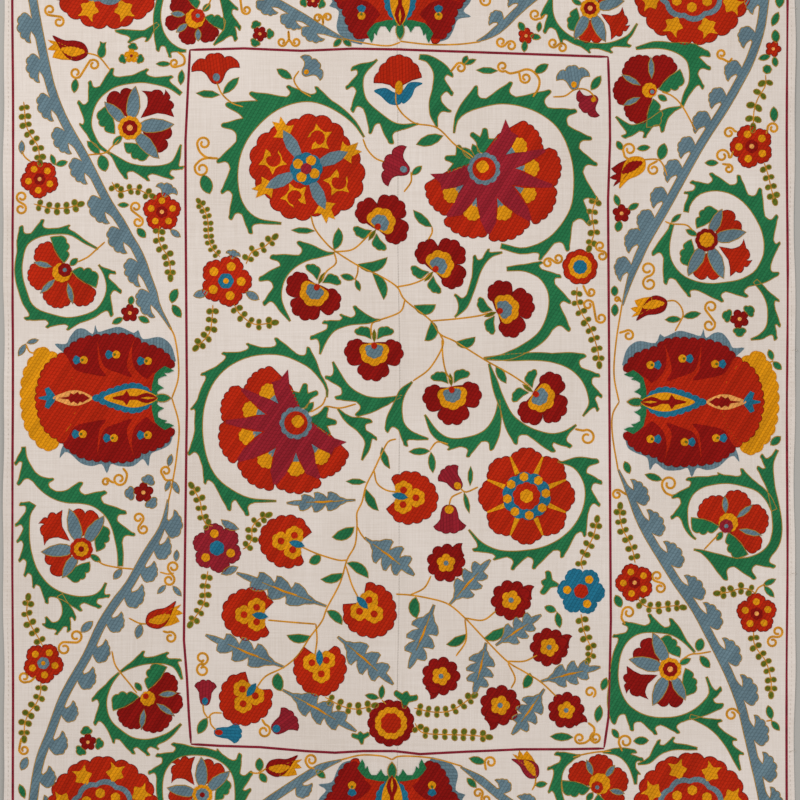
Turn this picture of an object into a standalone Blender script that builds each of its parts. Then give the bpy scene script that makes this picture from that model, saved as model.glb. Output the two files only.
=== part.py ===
"""A suzani: a hand-embroidered cotton cover, spread out face up on a flat surface.

Two loom widths of handwoven cotton are sewn together down the middle and hemmed round the
outside. X runs across the two widths, Y along them and Z up from the surface, with the origin
under the middle of the cover. All sizes are in metres.
"""

import math

import bmesh
import bpy

COVER_WIDTH = 1.500
COVER_LENGTH = 2.026
SEAM_X = -0.0015  # the seam runs just left of the middle
SEAM_GAP = 0.0004

COTTON_THICKNESS = 0.0013
TURNED_THICKNESS = 0.0023  # where the cotton is turned under, at the hems and the seam
HEM_WIDTH = 0.009
SEAM_ALLOWANCE = 0.008
STEP_WIDTH = 0.002  # over which a turned edge thins to the single cotton

COLUMNS = 15  # even cells across one loom width, between its turned edges
ROWS = 40

# How the cotton lies: long low swells that stand off the surface between the places where it
# rests. A heading is the way a swell's crests follow one another, in degrees from X.
SWELLS = (
    {"height": 0.0016, "length": 0.83, "heading": 8, "start": 0.12},
    {"height": 0.0013, "length": 0.47, "heading": 37, "start": 0.55},
    {"height": 0.0012, "length": 0.61, "heading": 96, "start": 0.31},
    {"height": 0.0010, "length": 0.36, "heading": 141, "start": 0.78},
)
SETTLED = 0.0006  # how far the weight of the cloth presses the swells down
FOOT = 0.0014  # how gently a swell leaves the surface

# How far each edge wanders from straight, as a hand-cut and hand-hemmed edge does.
EDGE_WAVES = {
    "left": (
        {"height": 0.0013, "length": 0.64, "start": 0.20},
        {"height": 0.0008, "length": 0.21, "start": 0.65},
    ),
    "right": (
        {"height": 0.0012, "length": 0.53, "start": 0.05},
        {"height": 0.0009, "length": 0.24, "start": 0.40},
    ),
    "seam": (
        {"height": 0.0020, "length": 1.30, "start": 0.30},
        {"height": 0.0008, "length": 0.43, "start": 0.10},
    ),
    "bottom": (
        {"height": 0.0014, "length": 0.58, "start": 0.45},
        {"height": 0.0007, "length": 0.19, "start": 0.80},
    ),
    "top": (
        {"height": 0.0013, "length": 0.49, "start": 0.70},
        {"height": 0.0008, "length": 0.22, "start": 0.15},
    ),
}

COTTON_COLOUR = (0.72, 0.64, 0.58, 1.0)
COTTON_ROUGHNESS = 0.9


def wave(along, length, start):
    return math.sin(math.tau * (along / length + start))


def wander(edge, along):
    """How far an edge is from its straight line at this place along it."""
    return sum(w["height"] * wave(along, w["length"], w["start"]) for w in EDGE_WAVES[edge])


def lift(x, y):
    """The height of the cotton's underside above the surface."""
    total = -SETTLED
    for swell in SWELLS:
        heading = math.radians(swell["heading"])
        along = x * math.cos(heading) + y * math.sin(heading)
        total += swell["height"] * wave(along, swell["length"], swell["start"])
    return total * total / (total + FOOT) if total > 0 else 0.0


def stations(length, first_band, last_band, cells):
    """Distances from one edge: both turned bands, the step beside each, and even cells between."""
    first = first_band + STEP_WIDTH
    last = length - last_band - STEP_WIDTH
    even = [first + (last - first) * i / cells for i in range(cells + 1)]
    return [0.0, first_band, *even, length - last_band, length]


def is_turned(line, lines):
    """Whether a grid line lies on a turned edge: the first two do, and the last two."""
    return min(line, lines - 1 - line) < 2


def add_loom_width(name, side, material, collection):
    """One loom width, from the seam out to the left (side -1) or right (side 1) edge."""
    half_width, half_length = COVER_WIDTH / 2, COVER_LENGTH / 2
    seam_edge = SEAM_X + side * SEAM_GAP / 2
    outer_edge = side * half_width
    outer_name = "right" if side > 0 else "left"
    left_edge, right_edge = sorted((seam_edge, outer_edge))
    bands = (SEAM_ALLOWANCE, HEM_WIDTH) if side > 0 else (HEM_WIDTH, SEAM_ALLOWANCE)
    across = stations(right_edge - left_edge, *bands, COLUMNS)
    along = stations(COVER_LENGTH, HEM_WIDTH, HEM_WIDTH, ROWS)

    mesh = bpy.data.meshes.new(name)
    width = bpy.data.objects.new(name, mesh)
    collection.objects.link(width)
    turned = width.vertex_groups.new(name="turned")

    grid = bmesh.new()
    weights = grid.verts.layers.deform.new()
    bmesh.ops.create_grid(
        grid, x_segments=len(across) - 1, y_segments=len(along) - 1, size=0.5
    )
    for vertex in grid.verts:
        column = round((vertex.co.x + 0.5) * (len(across) - 1))
        row = round((vertex.co.y + 0.5) * (len(along) - 1))
        x = left_edge + across[column]
        y = along[row] - half_length
        from_seam = abs(x - seam_edge) / abs(outer_edge - seam_edge)
        y_shift = wander("top" if y > 0 else "bottom", x) * abs(y) / half_length
        x_shift = from_seam * wander(outer_name, y) + (1 - from_seam) * wander("seam", y)
        vertex.co = (x + x_shift, y + y_shift, lift(x, y))
        in_band = is_turned(column, len(across)) or is_turned(row, len(along))
        vertex[weights][turned.index] = 1.0 if in_band else 0.0
    grid.to_mesh(mesh)
    grid.free()
    mesh.shade_smooth()
    mesh.materials.append(material)

    layer = width.modifiers.new("cotton", "SOLIDIFY")
    layer.thickness = TURNED_THICKNESS
    layer.offset = 1.0
    layer.vertex_group = turned.name
    layer.thickness_vertex_group = COTTON_THICKNESS / TURNED_THICKNESS
    return width


def cotton_material():
    material = bpy.data.materials.new("handwoven cotton")
    material.use_nodes = True
    surface = material.node_tree.nodes["Principled BSDF"]
    surface.inputs["Base Color"].default_value = COTTON_COLOUR
    surface.inputs["Roughness"].default_value = COTTON_ROUGHNESS
    surface.inputs["Metallic"].default_value = 0.0
    return material


def main():
    for old in list(bpy.data.objects):
        bpy.data.objects.remove(old)
    collection = bpy.data.collections.new("Suzani")
    bpy.context.scene.collection.children.link(collection)
    material = cotton_material()
    add_loom_width("panel_left", -1, material, collection)
    add_loom_width("panel_right", 1, material, collection)


main()
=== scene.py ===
import math
import random

import bpy
import numpy as np
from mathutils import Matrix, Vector
from mathutils.geometry import delaunay_2d_cdt, intersect_line_line_2d


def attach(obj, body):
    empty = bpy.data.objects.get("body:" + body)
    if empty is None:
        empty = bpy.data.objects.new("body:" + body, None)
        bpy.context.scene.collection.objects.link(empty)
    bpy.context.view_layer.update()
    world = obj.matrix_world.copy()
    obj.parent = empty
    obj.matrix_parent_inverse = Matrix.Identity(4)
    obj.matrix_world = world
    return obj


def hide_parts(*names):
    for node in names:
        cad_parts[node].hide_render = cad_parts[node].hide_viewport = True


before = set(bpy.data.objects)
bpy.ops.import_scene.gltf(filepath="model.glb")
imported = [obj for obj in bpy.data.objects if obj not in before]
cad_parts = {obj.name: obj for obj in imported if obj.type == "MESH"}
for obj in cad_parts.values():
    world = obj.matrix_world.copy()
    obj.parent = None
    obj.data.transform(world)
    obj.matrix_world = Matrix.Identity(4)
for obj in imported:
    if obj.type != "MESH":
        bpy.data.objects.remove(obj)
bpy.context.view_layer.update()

# The cover as the solids have it, in metres, with the squares that its design is set out on.
cover = {
    "width": 1.500,
    "length": 2.026,
    "seamX": -0.0015,
    "seamGap": 0.0004,
    "cotton": 0.0013,
    "turned": 0.0023,       # where the cotton is turned under
    "hem": 0.009,
    "seamAllowance": 0.008,
    "step": 0.002,          # over which a turned edge thins to the single cotton
    "settled": 0.0006,
    "foot": 0.0014,
    "columns": 74,          # cells across one loom width
    "rows": 200,
    "crumple": 0.00022,     # the small unevenness that the stitching draws the cotton into
    "squares": 790.5,       # squares of the draughtsman's grid across the width
    "middle": (399.25, 400),  # the square at the middle of the cover, counted right and down
}
square = cover["width"] / cover["squares"]


def table(columns, *entries):
    names = columns.split()      # a small table: each entry becomes a dictionary under these names
    return [dict(zip(names, entry)) for entry in entries]


swells = table(
    "height length heading start",
    (0.0016, 0.83, 8, 0.12),
    (0.0013, 0.47, 37, 0.55),
    (0.0012, 0.61, 96, 0.31),
    (0.0010, 0.36, 141, 0.78),
)
edgeWaves = {
    "left": table("height length start", (0.0013, 0.64, 0.20), (0.0008, 0.21, 0.65)),
    "right": table("height length start", (0.0012, 0.53, 0.05), (0.0009, 0.24, 0.40)),
    "seam": table("height length start", (0.0020, 1.30, 0.30), (0.0008, 0.43, 0.10)),
    "bottom": table("height length start", (0.0014, 0.58, 0.45), (0.0007, 0.19, 0.80)),
    "top": table("height length start", (0.0013, 0.49, 0.70), (0.0008, 0.22, 0.15)),
}
# Small creases and puckers, in metres: much lower than the swells, and all over.
puckers = table(
    "height length heading start",
    (0.30, 0.171, 3, 0.4),
    (0.25, 0.113, 68, 0.2),
    (0.22, 0.083, 171, 0.7),
    (0.16, 0.061, 112, 0.1),
)


def wave(along, row):
    return np.sin(math.tau * (along / row["length"] + row["start"]))


def wander(edge, along):
    return sum(row["height"] * wave(along, row) for row in edgeWaves[edge])


def travelling(x, y, rows):
    total = 0
    for row in rows:
        heading = math.radians(row["heading"])
        total = total + row["height"] * wave(x * math.cos(heading) + y * math.sin(heading), row)
    return total


def underside(x, y):
    total = np.maximum(travelling(x, y, swells) - cover["settled"], 0)
    return total * total / (total + cover["foot"])


def seamLine(y):
    return cover["seamX"] + wander("seam", y)


def cottonTop(x, y):
    halfWidth, halfLength = cover["width"] / 2, cover["length"] / 2
    toEdge = np.minimum(halfWidth - np.abs(x), halfLength - np.abs(y)) - cover["hem"]
    toSeam = np.abs(x - seamLine(y)) - cover["seamAllowance"]
    turned = np.clip(1 - np.minimum(toEdge, toSeam) / cover["step"], 0, 1)
    thick = cover["cotton"] + (cover["turned"] - cover["cotton"]) * turned
    return underside(x, y) + thick + cover["crumple"] * travelling(x, y, puckers) * (1 - turned)


# The materials: one for each silk, one for the sewing thread and one for the cotton.
def linear(hexCode):
    parts = [int(hexCode[i : i + 2], 16) / 255 for i in (1, 3, 5)]
    bent = [p / 12.92 if p <= 0.04045 else ((p + 0.055) / 1.055) ** 2.4 for p in parts]
    return (*bent, 1.0)


def addNode(tree, kind, inputs=None, **settings):
    node = tree.nodes.new("ShaderNode" + kind)
    for name, value in settings.items():
        setattr(node, name, value)
    for socket, value in (inputs or {}).items():
        if isinstance(value, bpy.types.Node):
            value = value.outputs[0]
        if isinstance(value, bpy.types.NodeSocket):
            tree.links.new(value, node.inputs[socket])
        else:
            node.inputs[socket].default_value = value
    return node


def newMaterial(name, **surface):
    material = bpy.data.materials.new(name)
    material.use_nodes = True
    shader = material.node_tree.nodes["Principled BSDF"]
    for socket, value in surface.items():
        shader.inputs[socket.replace("_", " ")].default_value = value
    return material, material.node_tree, shader


silkFinish = {
    "rowPitch": 6.0,        # millimetres from one laid row to the next
    "gap": 0.9,             # millimetres of shadow between two rows
    "tiePitch": 8.0,        # millimetres between the small stitches that hold a row down
    "strand": 0.55,         # millimetres across a strand of floss, twice the real one so that it shows
    "chainPitch": 3.4,      # millimetres to a chain stitch
    "roughness": 0.65,
    "specular": 0.05,
    "fading": 7.0,          # faded patches to a metre
    "tones": (0.68, 1.28),  # the least and the most of its dye that a strand shows
    "gapShade": 0.5,        # how far the painted shade darkens a gap between two rows, of 1
    # how far the painted shade darkens the dents at the ties, of 1
    "tieShade": 0.30,
    "relief": 0.0003,       # metres that strands and ties stand up
    "chainFading": 60.0,
    "chainTones": (0.75, 1.2),
    # how far the painted shade darkens a chain link's joins and middle, of 1
    "chainShade": 0.4,
    "chainRelief": 0.0004,
}
cottonFinish = {
    "yarn": 0.0013,         # metres from yarn to yarn
    "roughness": 0.88,
    "sheen": 0.15,
    "sheenRoughness": 0.5,
    "ivory": "#E7DBD2",
    "deep": "#D6C8BC",      # where the yarn is thick or the cloth has aged
    "slubs": (420, 14),     # thick places to a metre, across the yarn and along it
    "clouds": 3.5,          # patches of age to a metre
    "weaveShare": 0.12,     # the weave's part in the relief, beside the slubs'
    "relief": 0.0006,
}


# Reeled silk floss, laid in rows and tied down: even colour along a row, painted shade in the gap between
# rows and in the dents at the ties, fine strands along it and small slanting ties across it.
def laidSilk(name, hexCode):
    finish = silkFinish
    colour = linear(hexCode)
    material, tree, shader = newMaterial(
        name, Roughness=finish["roughness"], Specular_IOR_Level=finish["specular"]
    )
    rows = addNode(tree, "UVMap", uv_map="rows")
    split = addNode(tree, "SeparateXYZ", {0: rows})
    along, across = split.outputs[0], split.outputs[1]
    pitch = finish["rowPitch"]
    # painted shade: the low gap between two laid rows is darkened, most at its middle
    toGap = addNode(tree, "Math", {0: across, 1: pitch / 2}, operation="PINGPONG")
    gap = addNode(
        tree,
        "MapRange",
        {0: toGap, 1: pitch / 2 - finish["gap"], 2: pitch / 2, 3: 0.0, 4: 1.0},
        interpolation_type="SMOOTHSTEP",
    )
    rowCount = addNode(tree, "Math", {0: across, 1: 1 / pitch, 2: 0.5}, operation="MULTIPLY_ADD")
    row = addNode(tree, "Math", {0: rowCount}, operation="FLOOR")
    rowSeed = addNode(tree, "CombineXYZ", {0: row, 1: 0.5})
    rowTone = addNode(tree, "TexWhiteNoise", {0: rowSeed}, noise_dimensions="2D")
    # painted shade: the dents where the slanting ties press the floss down are darkened
    stagger = addNode(tree, "Math", {0: rowTone, 1: 6.0, 2: along}, operation="MULTIPLY_ADD")
    slant = addNode(tree, "Math", {0: across, 1: 0.5, 2: stagger}, operation="MULTIPLY_ADD")
    toTie = addNode(tree, "Math", {0: slant, 1: finish["tiePitch"] / 2}, operation="PINGPONG")
    tie = addNode(
        tree,
        "MapRange",
        {0: toTie, 1: 0.9, 2: 0.2, 3: 0.0, 4: 1.0},
        interpolation_type="SMOOTHSTEP",
    )
    strandPlace = addNode(tree, "VectorMath", {0: rows, 1: (0.06, 1 / finish["strand"], 0)},
                          operation="MULTIPLY")
    strands = addNode(tree, "TexNoise", {0: strandPlace, "Scale": 1.0, "Detail": 3.0})
    objectPlace = addNode(tree, "TexCoord")
    fade = addNode(tree, "TexNoise", {0: objectPlace.outputs["Object"], "Scale": finish["fading"],
                                      "Detail": 3.0})
    toneSum = addNode(tree, "Math", {0: rowTone, 1: 0.35, 2: strands}, operation="MULTIPLY_ADD")
    tone = addNode(tree, "Math", {0: fade, 1: 0.7, 2: toneSum}, operation="MULTIPLY_ADD")
    shade = addNode(tree, "MapRange", {0: tone, 1: 0.6, 2: 1.5, 3: finish["tones"][0], 4: finish["tones"][1]})
    # the gap's painted shade and the ties' painted shade; the darker of the two is taken off the dye
    gapPaintedShade = addNode(tree, "Math", {0: gap, 1: finish["gapShade"]}, operation="MULTIPLY")
    tiePaintedShade = addNode(tree, "Math", {0: tie, 1: finish["tieShade"]}, operation="MULTIPLY")
    dark = addNode(tree, "Math", {0: gapPaintedShade, 1: tiePaintedShade}, operation="MAXIMUM")
    lit = addNode(tree, "Math", {0: 1.0, 1: dark}, operation="SUBTRACT")
    level = addNode(tree, "Math", {0: shade, 1: lit}, operation="MULTIPLY")
    dyed = addNode(tree, "VectorMath", {0: colour[:3], "Scale": level}, operation="SCALE")
    tree.links.new(dyed.outputs[0], shader.inputs["Base Color"])
    relief = addNode(tree, "Math", {0: strands, 1: tie}, operation="SUBTRACT")
    bump = addNode(tree, "Bump", {"Strength": 0.5, "Distance": finish["relief"], "Height": relief})
    tree.links.new(bump.outputs[0], shader.inputs["Normal"])
    return material


# Two-ply silk in chain stitch: painted shade darkens each link where it enters the cloth and down its middle.
def chainSilk(name, hexCode):
    finish = silkFinish
    colour = linear(hexCode)
    material, tree, shader = newMaterial(
        name, Roughness=finish["roughness"], Specular_IOR_Level=finish["specular"]
    )
    rows = addNode(tree, "UVMap", uv_map="rows")
    split = addNode(tree, "SeparateXYZ", {0: rows})
    side = addNode(tree, "Math", {0: split.outputs[1]}, operation="ABSOLUTE")
    lean = addNode(tree, "Math", {0: side, 1: 1.1, 2: split}, operation="MULTIPLY_ADD")
    toJoin = addNode(tree, "Math", {0: lean, 1: finish["chainPitch"] / 2}, operation="PINGPONG")
    join = addNode(tree, "MapRange", {0: toJoin, 1: 0.55, 2: 0.1, 3: 0.0, 4: 1.0})
    middle = addNode(tree, "MapRange", {0: side, 1: 0.3, 2: 0.0, 3: 0.0, 4: 0.6})
    objectPlace = addNode(tree, "TexCoord")
    fade = addNode(tree, "TexNoise", {0: objectPlace.outputs["Object"], "Scale": finish["chainFading"],
                                      "Detail": 4.0})
    shade = addNode(tree, "MapRange", {0: fade, 1: 0.3, 2: 0.7, 3: finish["chainTones"][0],
                                       4: finish["chainTones"][1]})
    # painted shade at each link's joins and down its middle, the same dents that the bump sinks
    dark = addNode(tree, "Math", {0: join, 1: middle}, operation="MAXIMUM")
    lit = addNode(tree, "Math", {0: dark, 1: -finish["chainShade"], 2: 1.0}, operation="MULTIPLY_ADD")
    level = addNode(tree, "Math", {0: shade, 1: lit}, operation="MULTIPLY")
    dyed = addNode(tree, "VectorMath", {0: colour[:3], "Scale": level}, operation="SCALE")
    tree.links.new(dyed.outputs[0], shader.inputs["Base Color"])
    bump = addNode(
        tree, "Bump", {"Strength": 0.6, "Distance": finish["chainRelief"], "Height": dark}, invert=True
    )
    tree.links.new(bump.outputs[0], shader.inputs["Normal"])
    return material


# Hand-spun cotton in a plain weave: matt, ivory gone a little pink with age, with thick places in
# the yarn that run along the warp and the weft. The weave is drawn at twice its real size.
def handwovenCotton(name):
    finish = cottonFinish
    material, tree, shader = newMaterial(
        name,
        Roughness=finish["roughness"],
        Sheen_Weight=finish["sheen"],
        Sheen_Roughness=finish["sheenRoughness"],
    )
    place = addNode(tree, "TexCoord").outputs["Object"]
    split = addNode(tree, "SeparateXYZ", {0: place})
    warp = addNode(tree, "Math", {0: split, 1: math.tau / finish["yarn"]}, operation="MULTIPLY")
    weft = addNode(tree, "Math", {0: split.outputs[1], 1: math.tau / finish["yarn"]}, operation="MULTIPLY")
    warpWave = addNode(tree, "Math", {0: warp}, operation="SINE")
    weftWave = addNode(tree, "Math", {0: weft}, operation="SINE")
    weave = addNode(tree, "Math", {0: warpWave, 1: weftWave}, operation="MULTIPLY")
    slubs = []
    for stretch in (finish["slubs"], finish["slubs"][::-1]):
        run = addNode(tree, "VectorMath", {0: place, 1: (*stretch, 1)}, operation="MULTIPLY")
        slubs.append(addNode(tree, "TexNoise", {0: run, "Scale": 1.0, "Detail": 2.0}))
    slub = addNode(tree, "Math", {0: slubs[0], 1: slubs[1]}, operation="ADD")
    cloud = addNode(tree, "TexNoise", {0: place, "Scale": finish["clouds"], "Detail": 5.0})
    tone = addNode(tree, "Math", {0: slub, 1: 0.8, 2: cloud}, operation="MULTIPLY_ADD")
    mix = addNode(tree, "MapRange", {0: tone, 1: 0.95, 2: 1.65, 3: 0.0, 4: 1.0})
    dyed = addNode(
        tree, "Mix", {0: mix, 6: linear(finish["deep"]), 7: linear(finish["ivory"])}, data_type="RGBA"
    )
    tree.links.new(dyed.outputs[2], shader.inputs["Base Color"])
    height = addNode(tree, "Math", {0: weave, 1: finish["weaveShare"], 2: slub}, operation="MULTIPLY_ADD")
    bump = addNode(tree, "Bump", {"Strength": 0.45, "Distance": finish["relief"], "Height": height})
    tree.links.new(bump.outputs[0], shader.inputs["Normal"])
    return material


# Each thread, by the dye that gives it its colour, with its slot in the record. Wine and amber are
# the outlines and tendrils, a shade off the silks that they go with.
threads = {
    "scarlet": {"dye": "#B8260B", "slot": "scarlet_silk"},
    "darkRed": {"dye": "#8E120D", "slot": "dark_red_silk"},
    "wine": {"dye": "#74100F", "slot": "dark_red_silk"},
    "crimson": {"dye": "#96202C", "slot": "crimson_silk"},
    "madder": {"dye": "#8C2332", "slot": "madder_line"},
    "green": {"dye": "#277347", "slot": "green_silk"},
    "olive": {"dye": "#5F6A1E", "slot": "olive_silk"},
    "slate": {"dye": "#68808A", "slot": "slate_silk"},
    "teal": {"dye": "#216E8A", "slot": "teal_silk"},
    "gold": {"dye": "#E2940F", "slot": "gold_silk"},
    "peach": {"dye": "#F0A455", "slot": "peach_silk"},
    "ochre": {"dye": "#B58A33", "slot": "ochre_silk"},
    "amber": {"dye": "#DA962A", "slot": "gold_silk"},
    "hem": {"dye": "#D8CDBE", "slot": "hem_thread"},
}


# The design is set out on the cover's squares, x counted to the right and y down. The drawing of one
# motif has y up, and `placed` turns it and puts it in its place.
def placed(points, x, y, size=1, turn=0, flip=1):
    c = size * math.cos(math.radians(turn))
    s = size * math.sin(math.radians(turn))
    return [(x + c * a - s * b * flip, y - s * a - c * b * flip) for a, b in points]


def arc(start, end, bulge, stepAngle=24):
    if not bulge:
        return [start]       # from start up to, and not including, end
    (ax, ay), (bx, by) = start, end
    reach = (1 - bulge * bulge) / (4 * bulge)
    middleX = (ax + bx) / 2 - (by - ay) * reach
    middleY = (ay + by) / 2 + (bx - ax) * reach
    sweep = 4 * math.atan(bulge)
    steps = max(2, math.ceil(abs(sweep) / math.radians(stepAngle)))
    found = []
    for step in range(steps):
        c, s = math.cos(sweep * step / steps), math.sin(sweep * step / steps)
        dx, dy = ax - middleX, ay - middleY
        found.append((middleX + c * dx - s * dy, middleY + s * dx + c * dy))
    return found


def shape(corners):
    # corners run anticlockwise, each (x, y) or (x, y, bulge) with the swell of the side after it
    found = []
    for i, corner in enumerate(corners):
        after = corners[(i + 1) % len(corners)]
        found += arc(corner[:2], after[:2], corner[2] if len(corner) > 2 else 0)
    return found


def curve(points, closed=False, step=2.5):
    points = [Vector(p) for p in points]
    last = len(points)
    found = []
    for i in range(last if closed else last - 1):
        if closed:
            a, b, c, d = (points[(i + k) % last] for k in (-1, 0, 1, 2))
        else:
            b, c = points[i], points[i + 1]
            a = points[i - 1] if i else 2 * b - c
            d = points[i + 2] if i + 2 < last else 2 * c - b
        steps = max(2, math.ceil((c - b).length / step))
        for k in range(steps):
            t = k / steps
            p = 0.5 * (2 * b + (c - a) * t + (2 * a - 5 * b + 4 * c - d) * t * t
                       + (3 * b - 3 * c + d - a) * t ** 3)
            found.append((p.x, p.y))
    if not closed:
        found.append(tuple(points[-1]))
    return found


def polar(radius, angle):
    return (radius * math.cos(math.radians(angle)), radius * math.sin(math.radians(angle)))


def mirrored(points):
    # the whole of a drawing from the points on its right, as it is seen from the stem
    return points + [(a, -b) for a, b in reversed(points) if b]


def lobes(count, radius, waist, bumps=3, bulge=0.45, spread=0.5, start=90):
    # the outline of a flower: each lobe has its own small scallops, and a notch before the next
    corners = []
    for lobe in range(count):
        middle = start + 360 * lobe / count
        for k in range(bumps):
            part = k / bumps
            reach = waist if k == 0 else radius * (1 - 0.1 * abs(2 * part - 1))
            angle = middle + (part - 0.5) * 360 / count * (1 if k == 0 else spread * 2)
            corners.append((*polar(reach, angle), bulge))
    return shape(corners)


# How the sewing stands on the cotton, in millimetres unless it says otherwise.
stitching = {
    "fillUp": 0.55,         # how far laid rows stand above the cotton
    "crown": 0.25,          # the crest of a row above the gap beside it
    "lineUp": 0.8,
    "levelUp": 0.5,         # one piece of stitching over another
    "rooted": -0.35,        # the edges go down into the cotton
    "run": 26.0,            # the longest stretch between points, to follow the cloth
    "slope": 58,            # degrees, the way the rows usually run
    "slopeShake": 2.5,      # degrees by which the rows of one shape stray from that
    "foldPitch": 8,         # between points of the lines that follow the seam
    "closest": 0.8,         # nearer than this, two points of a line are one
    "lineRun": 14,          # the longest stretch of a line between points
    "seamRun": 2.5,         # the same within `nearSeam` of the seam, where the cotton steps up
    "nearSeam": 20,
    "sharpest": 0.62,       # keeps a line's sharp corner from reaching far out
    "lineEnd": 0.6,         # how wide a line is at its two ends, of 1
    "bandParts": 48,        # parts in which a band's own side follows its path
    "look": 1.5,            # how far each way a path's direction is taken from, in squares
    "besideSeam": 0.6,      # how near to the seam the rows follow it
}
shake = random.Random(12)
squareMm = square * 1000
work = {}


def onCloth(points):
    middleX, middleY = cover["middle"]
    return [((x - middleX) * squareMm, (middleY - y) * squareMm) for x, y in points]


def needle(name):
    return work.setdefault(name, {"points": [], "faces": [], "rows": []})


def seamFolds(points):
    # the lines beside the seam where the cotton steps up and turns down, across this much of the cloth
    xs, ys = zip(*points)
    bend = (cover["seamAllowance"] + cover["step"]) * 1000
    if min(xs) > bend or max(xs) < -bend - 4:
        return []
    ys = np.linspace(min(ys) - 2, max(ys) + 2,
                     max(2, math.ceil((max(ys) - min(ys)) / stitching["foldPitch"])))
    xs = seamLine(ys / 1000) * 1000
    fromSeam = (stitching["besideSeam"], cover["seamAllowance"] * 1000, bend)
    outs = [side * out for side in (-1, 1) for out in fromSeam]
    return [[(float(x) + out, float(y)) for x, y in zip(xs, ys)] for out in outs]


def fill(outline, thread, rows=None, level=0, edge=None, edgeWidth=1.1):
    stray = shake.uniform(-stitching["slopeShake"], stitching["slopeShake"])
    turn = math.radians((stitching["slope"] if rows is None else rows) + stray)
    phase = shake.uniform(0, silkFinish["rowPitch"])
    c, s = math.cos(turn), math.sin(turn)
    flatOutline = onCloth(outline)
    points = [(c * x + s * y, c * y - s * x + phase) for x, y in flatOutline]
    turned = sum(a[0] * b[1] - b[0] * a[1] for a, b in zip(points, points[1:] + points[:1]))
    points = points if turned > 0 else points[::-1]
    loop = list(range(len(points)))
    us, vs = zip(*points)
    half = silkFinish["rowPitch"] / 2
    stations = np.linspace(min(us) - 1, max(us) + 1,
                           max(2, math.ceil((max(us) - min(us)) / stitching["run"]) + 1))
    edges = []
    for k in range(math.ceil(min(vs) / half), math.floor(max(vs) / half) + 1):
        first = len(points)
        across = k * half
        points += [(u, across) for u in stations]
        edges += [(first + i, first + i + 1) for i in range(len(stations) - 1)]
    for fold in seamFolds(flatOutline):
        first = len(points)
        points += [(c * x + s * y, c * y - s * x + phase) for x, y in fold]
        edges += [(first + i, first + i + 1) for i in range(len(fold) - 1)]
    flat, _, faces, _, _, owners = delaunay_2d_cdt(
        [Vector(p) for p in points], edges, [loop], 0, 1e-4, True
    )
    made = needle(thread)
    first = len(made["points"])
    faces = [face for face, owner in zip(faces, owners) if owner]
    used = {}
    for face in faces:
        for corner in face:
            used.setdefault(corner, first + len(used))
    base = stitching["fillUp"] + level * stitching["levelUp"]
    for corner in used:
        u, v = flat[corner]
        up = base + stitching["crown"] * math.cos(math.pi * v / half) / 2
        w = v - phase
        made["points"].append((c * u - s * w, s * u + c * w, up))
        made["rows"].append((u, v))
    openSides = set()
    for face in faces:
        a, b, d = (used[corner] for corner in face)
        made["faces"].append((a, b, d))
        for side in ((a, b), (b, d), (d, a)):
            if side[::-1] in openSides:
                openSides.remove(side[::-1])
            else:
                openSides.add(side)
    below = {}
    for a, b in sorted(openSides):
        for corner in (a, b):
            if corner not in below:
                below[corner] = len(made["points"])
                x, y, _ = made["points"][corner]
                made["points"].append((x, y, stitching["rooted"]))
                made["rows"].append(made["rows"][corner])
        made["faces"].append((below[a], below[b], b, a))
    if edge:
        line(outline, edge, edgeWidth, level, closed=True)


def line(path, thread, width=1.1, level=0, closed=False):
    route = []
    for x, y in onCloth(path):
        if not route or math.hypot(x - route[-1][0], y - route[-1][1]) > stitching["closest"]:
            route.append((x, y))
    if closed and math.dist(route[0], route[-1]) < stitching["closest"]:
        route.pop()
    if len(route) < 2:
        return
    ring = route + route[:1] if closed else route
    fine = []
    for (ax, ay), (bx, by) in zip(ring, ring[1:]):
        nearSeam = min(abs(ax), abs(bx)) < stitching["nearSeam"] or ax * bx < 0
        run = stitching["seamRun" if nearSeam else "lineRun"]
        parts = max(1, math.ceil(math.hypot(bx - ax, by - ay) / run))
        fine += [(ax + (bx - ax) * k / parts, ay + (by - ay) * k / parts) for k in range(parts)]
    fine.append(ring[-1])
    made = needle(thread + "Line")
    first = len(made["points"])
    half = width * squareMm / 2
    up = stitching["lineUp"] + level * stitching["levelUp"]
    total = 0
    last = len(fine) - 1
    for i, (x, y) in enumerate(fine):
        before = fine[i - 1] if i else (fine[last - 1] if closed else None)
        after = fine[i + 1] if i < last else (fine[1] if closed else None)
        ways = []
        for (ax, ay), (bx, by) in [(before, (x, y))] * bool(before) + [((x, y), after)] * bool(after):
            size = math.hypot(bx - ax, by - ay)
            ways.append(((ay - by) / size, (bx - ax) / size))
        nx, ny = (sum(w[k] for w in ways) / len(ways) for k in (0, 1))
        size = max(math.hypot(nx, ny), stitching["sharpest"])
        nx, ny = nx / size / size, ny / size / size
        narrow = stitching["lineEnd"] if not closed and i in (0, last) else 1
        if i:
            total += math.hypot(x - fine[i - 1][0], y - fine[i - 1][1])
        for across, height in ((1, stitching["rooted"]), (0.5, up), (-0.5, up), (-1, stitching["rooted"])):
            reach = across * half * narrow
            made["points"].append((x + nx * reach, y + ny * reach, height))
            made["rows"].append((total, across))
        if i:
            a = first + 4 * i
            made["faces"] += [(a + k - 4, a + k - 3, a + k + 1, a + k) for k in range(3)]
    if not closed:
        made["faces"].append((first + 3, first + 2, first + 1, first))
        end = first + 4 * last
        made["faces"].append((end, end + 1, end + 2, end + 3))


def frameAlong(path):
    spots = np.array(path, float)
    steps = np.hypot(*np.diff(spots, axis=0).T)
    return spots, np.concatenate([[0], np.cumsum(steps)])


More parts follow.
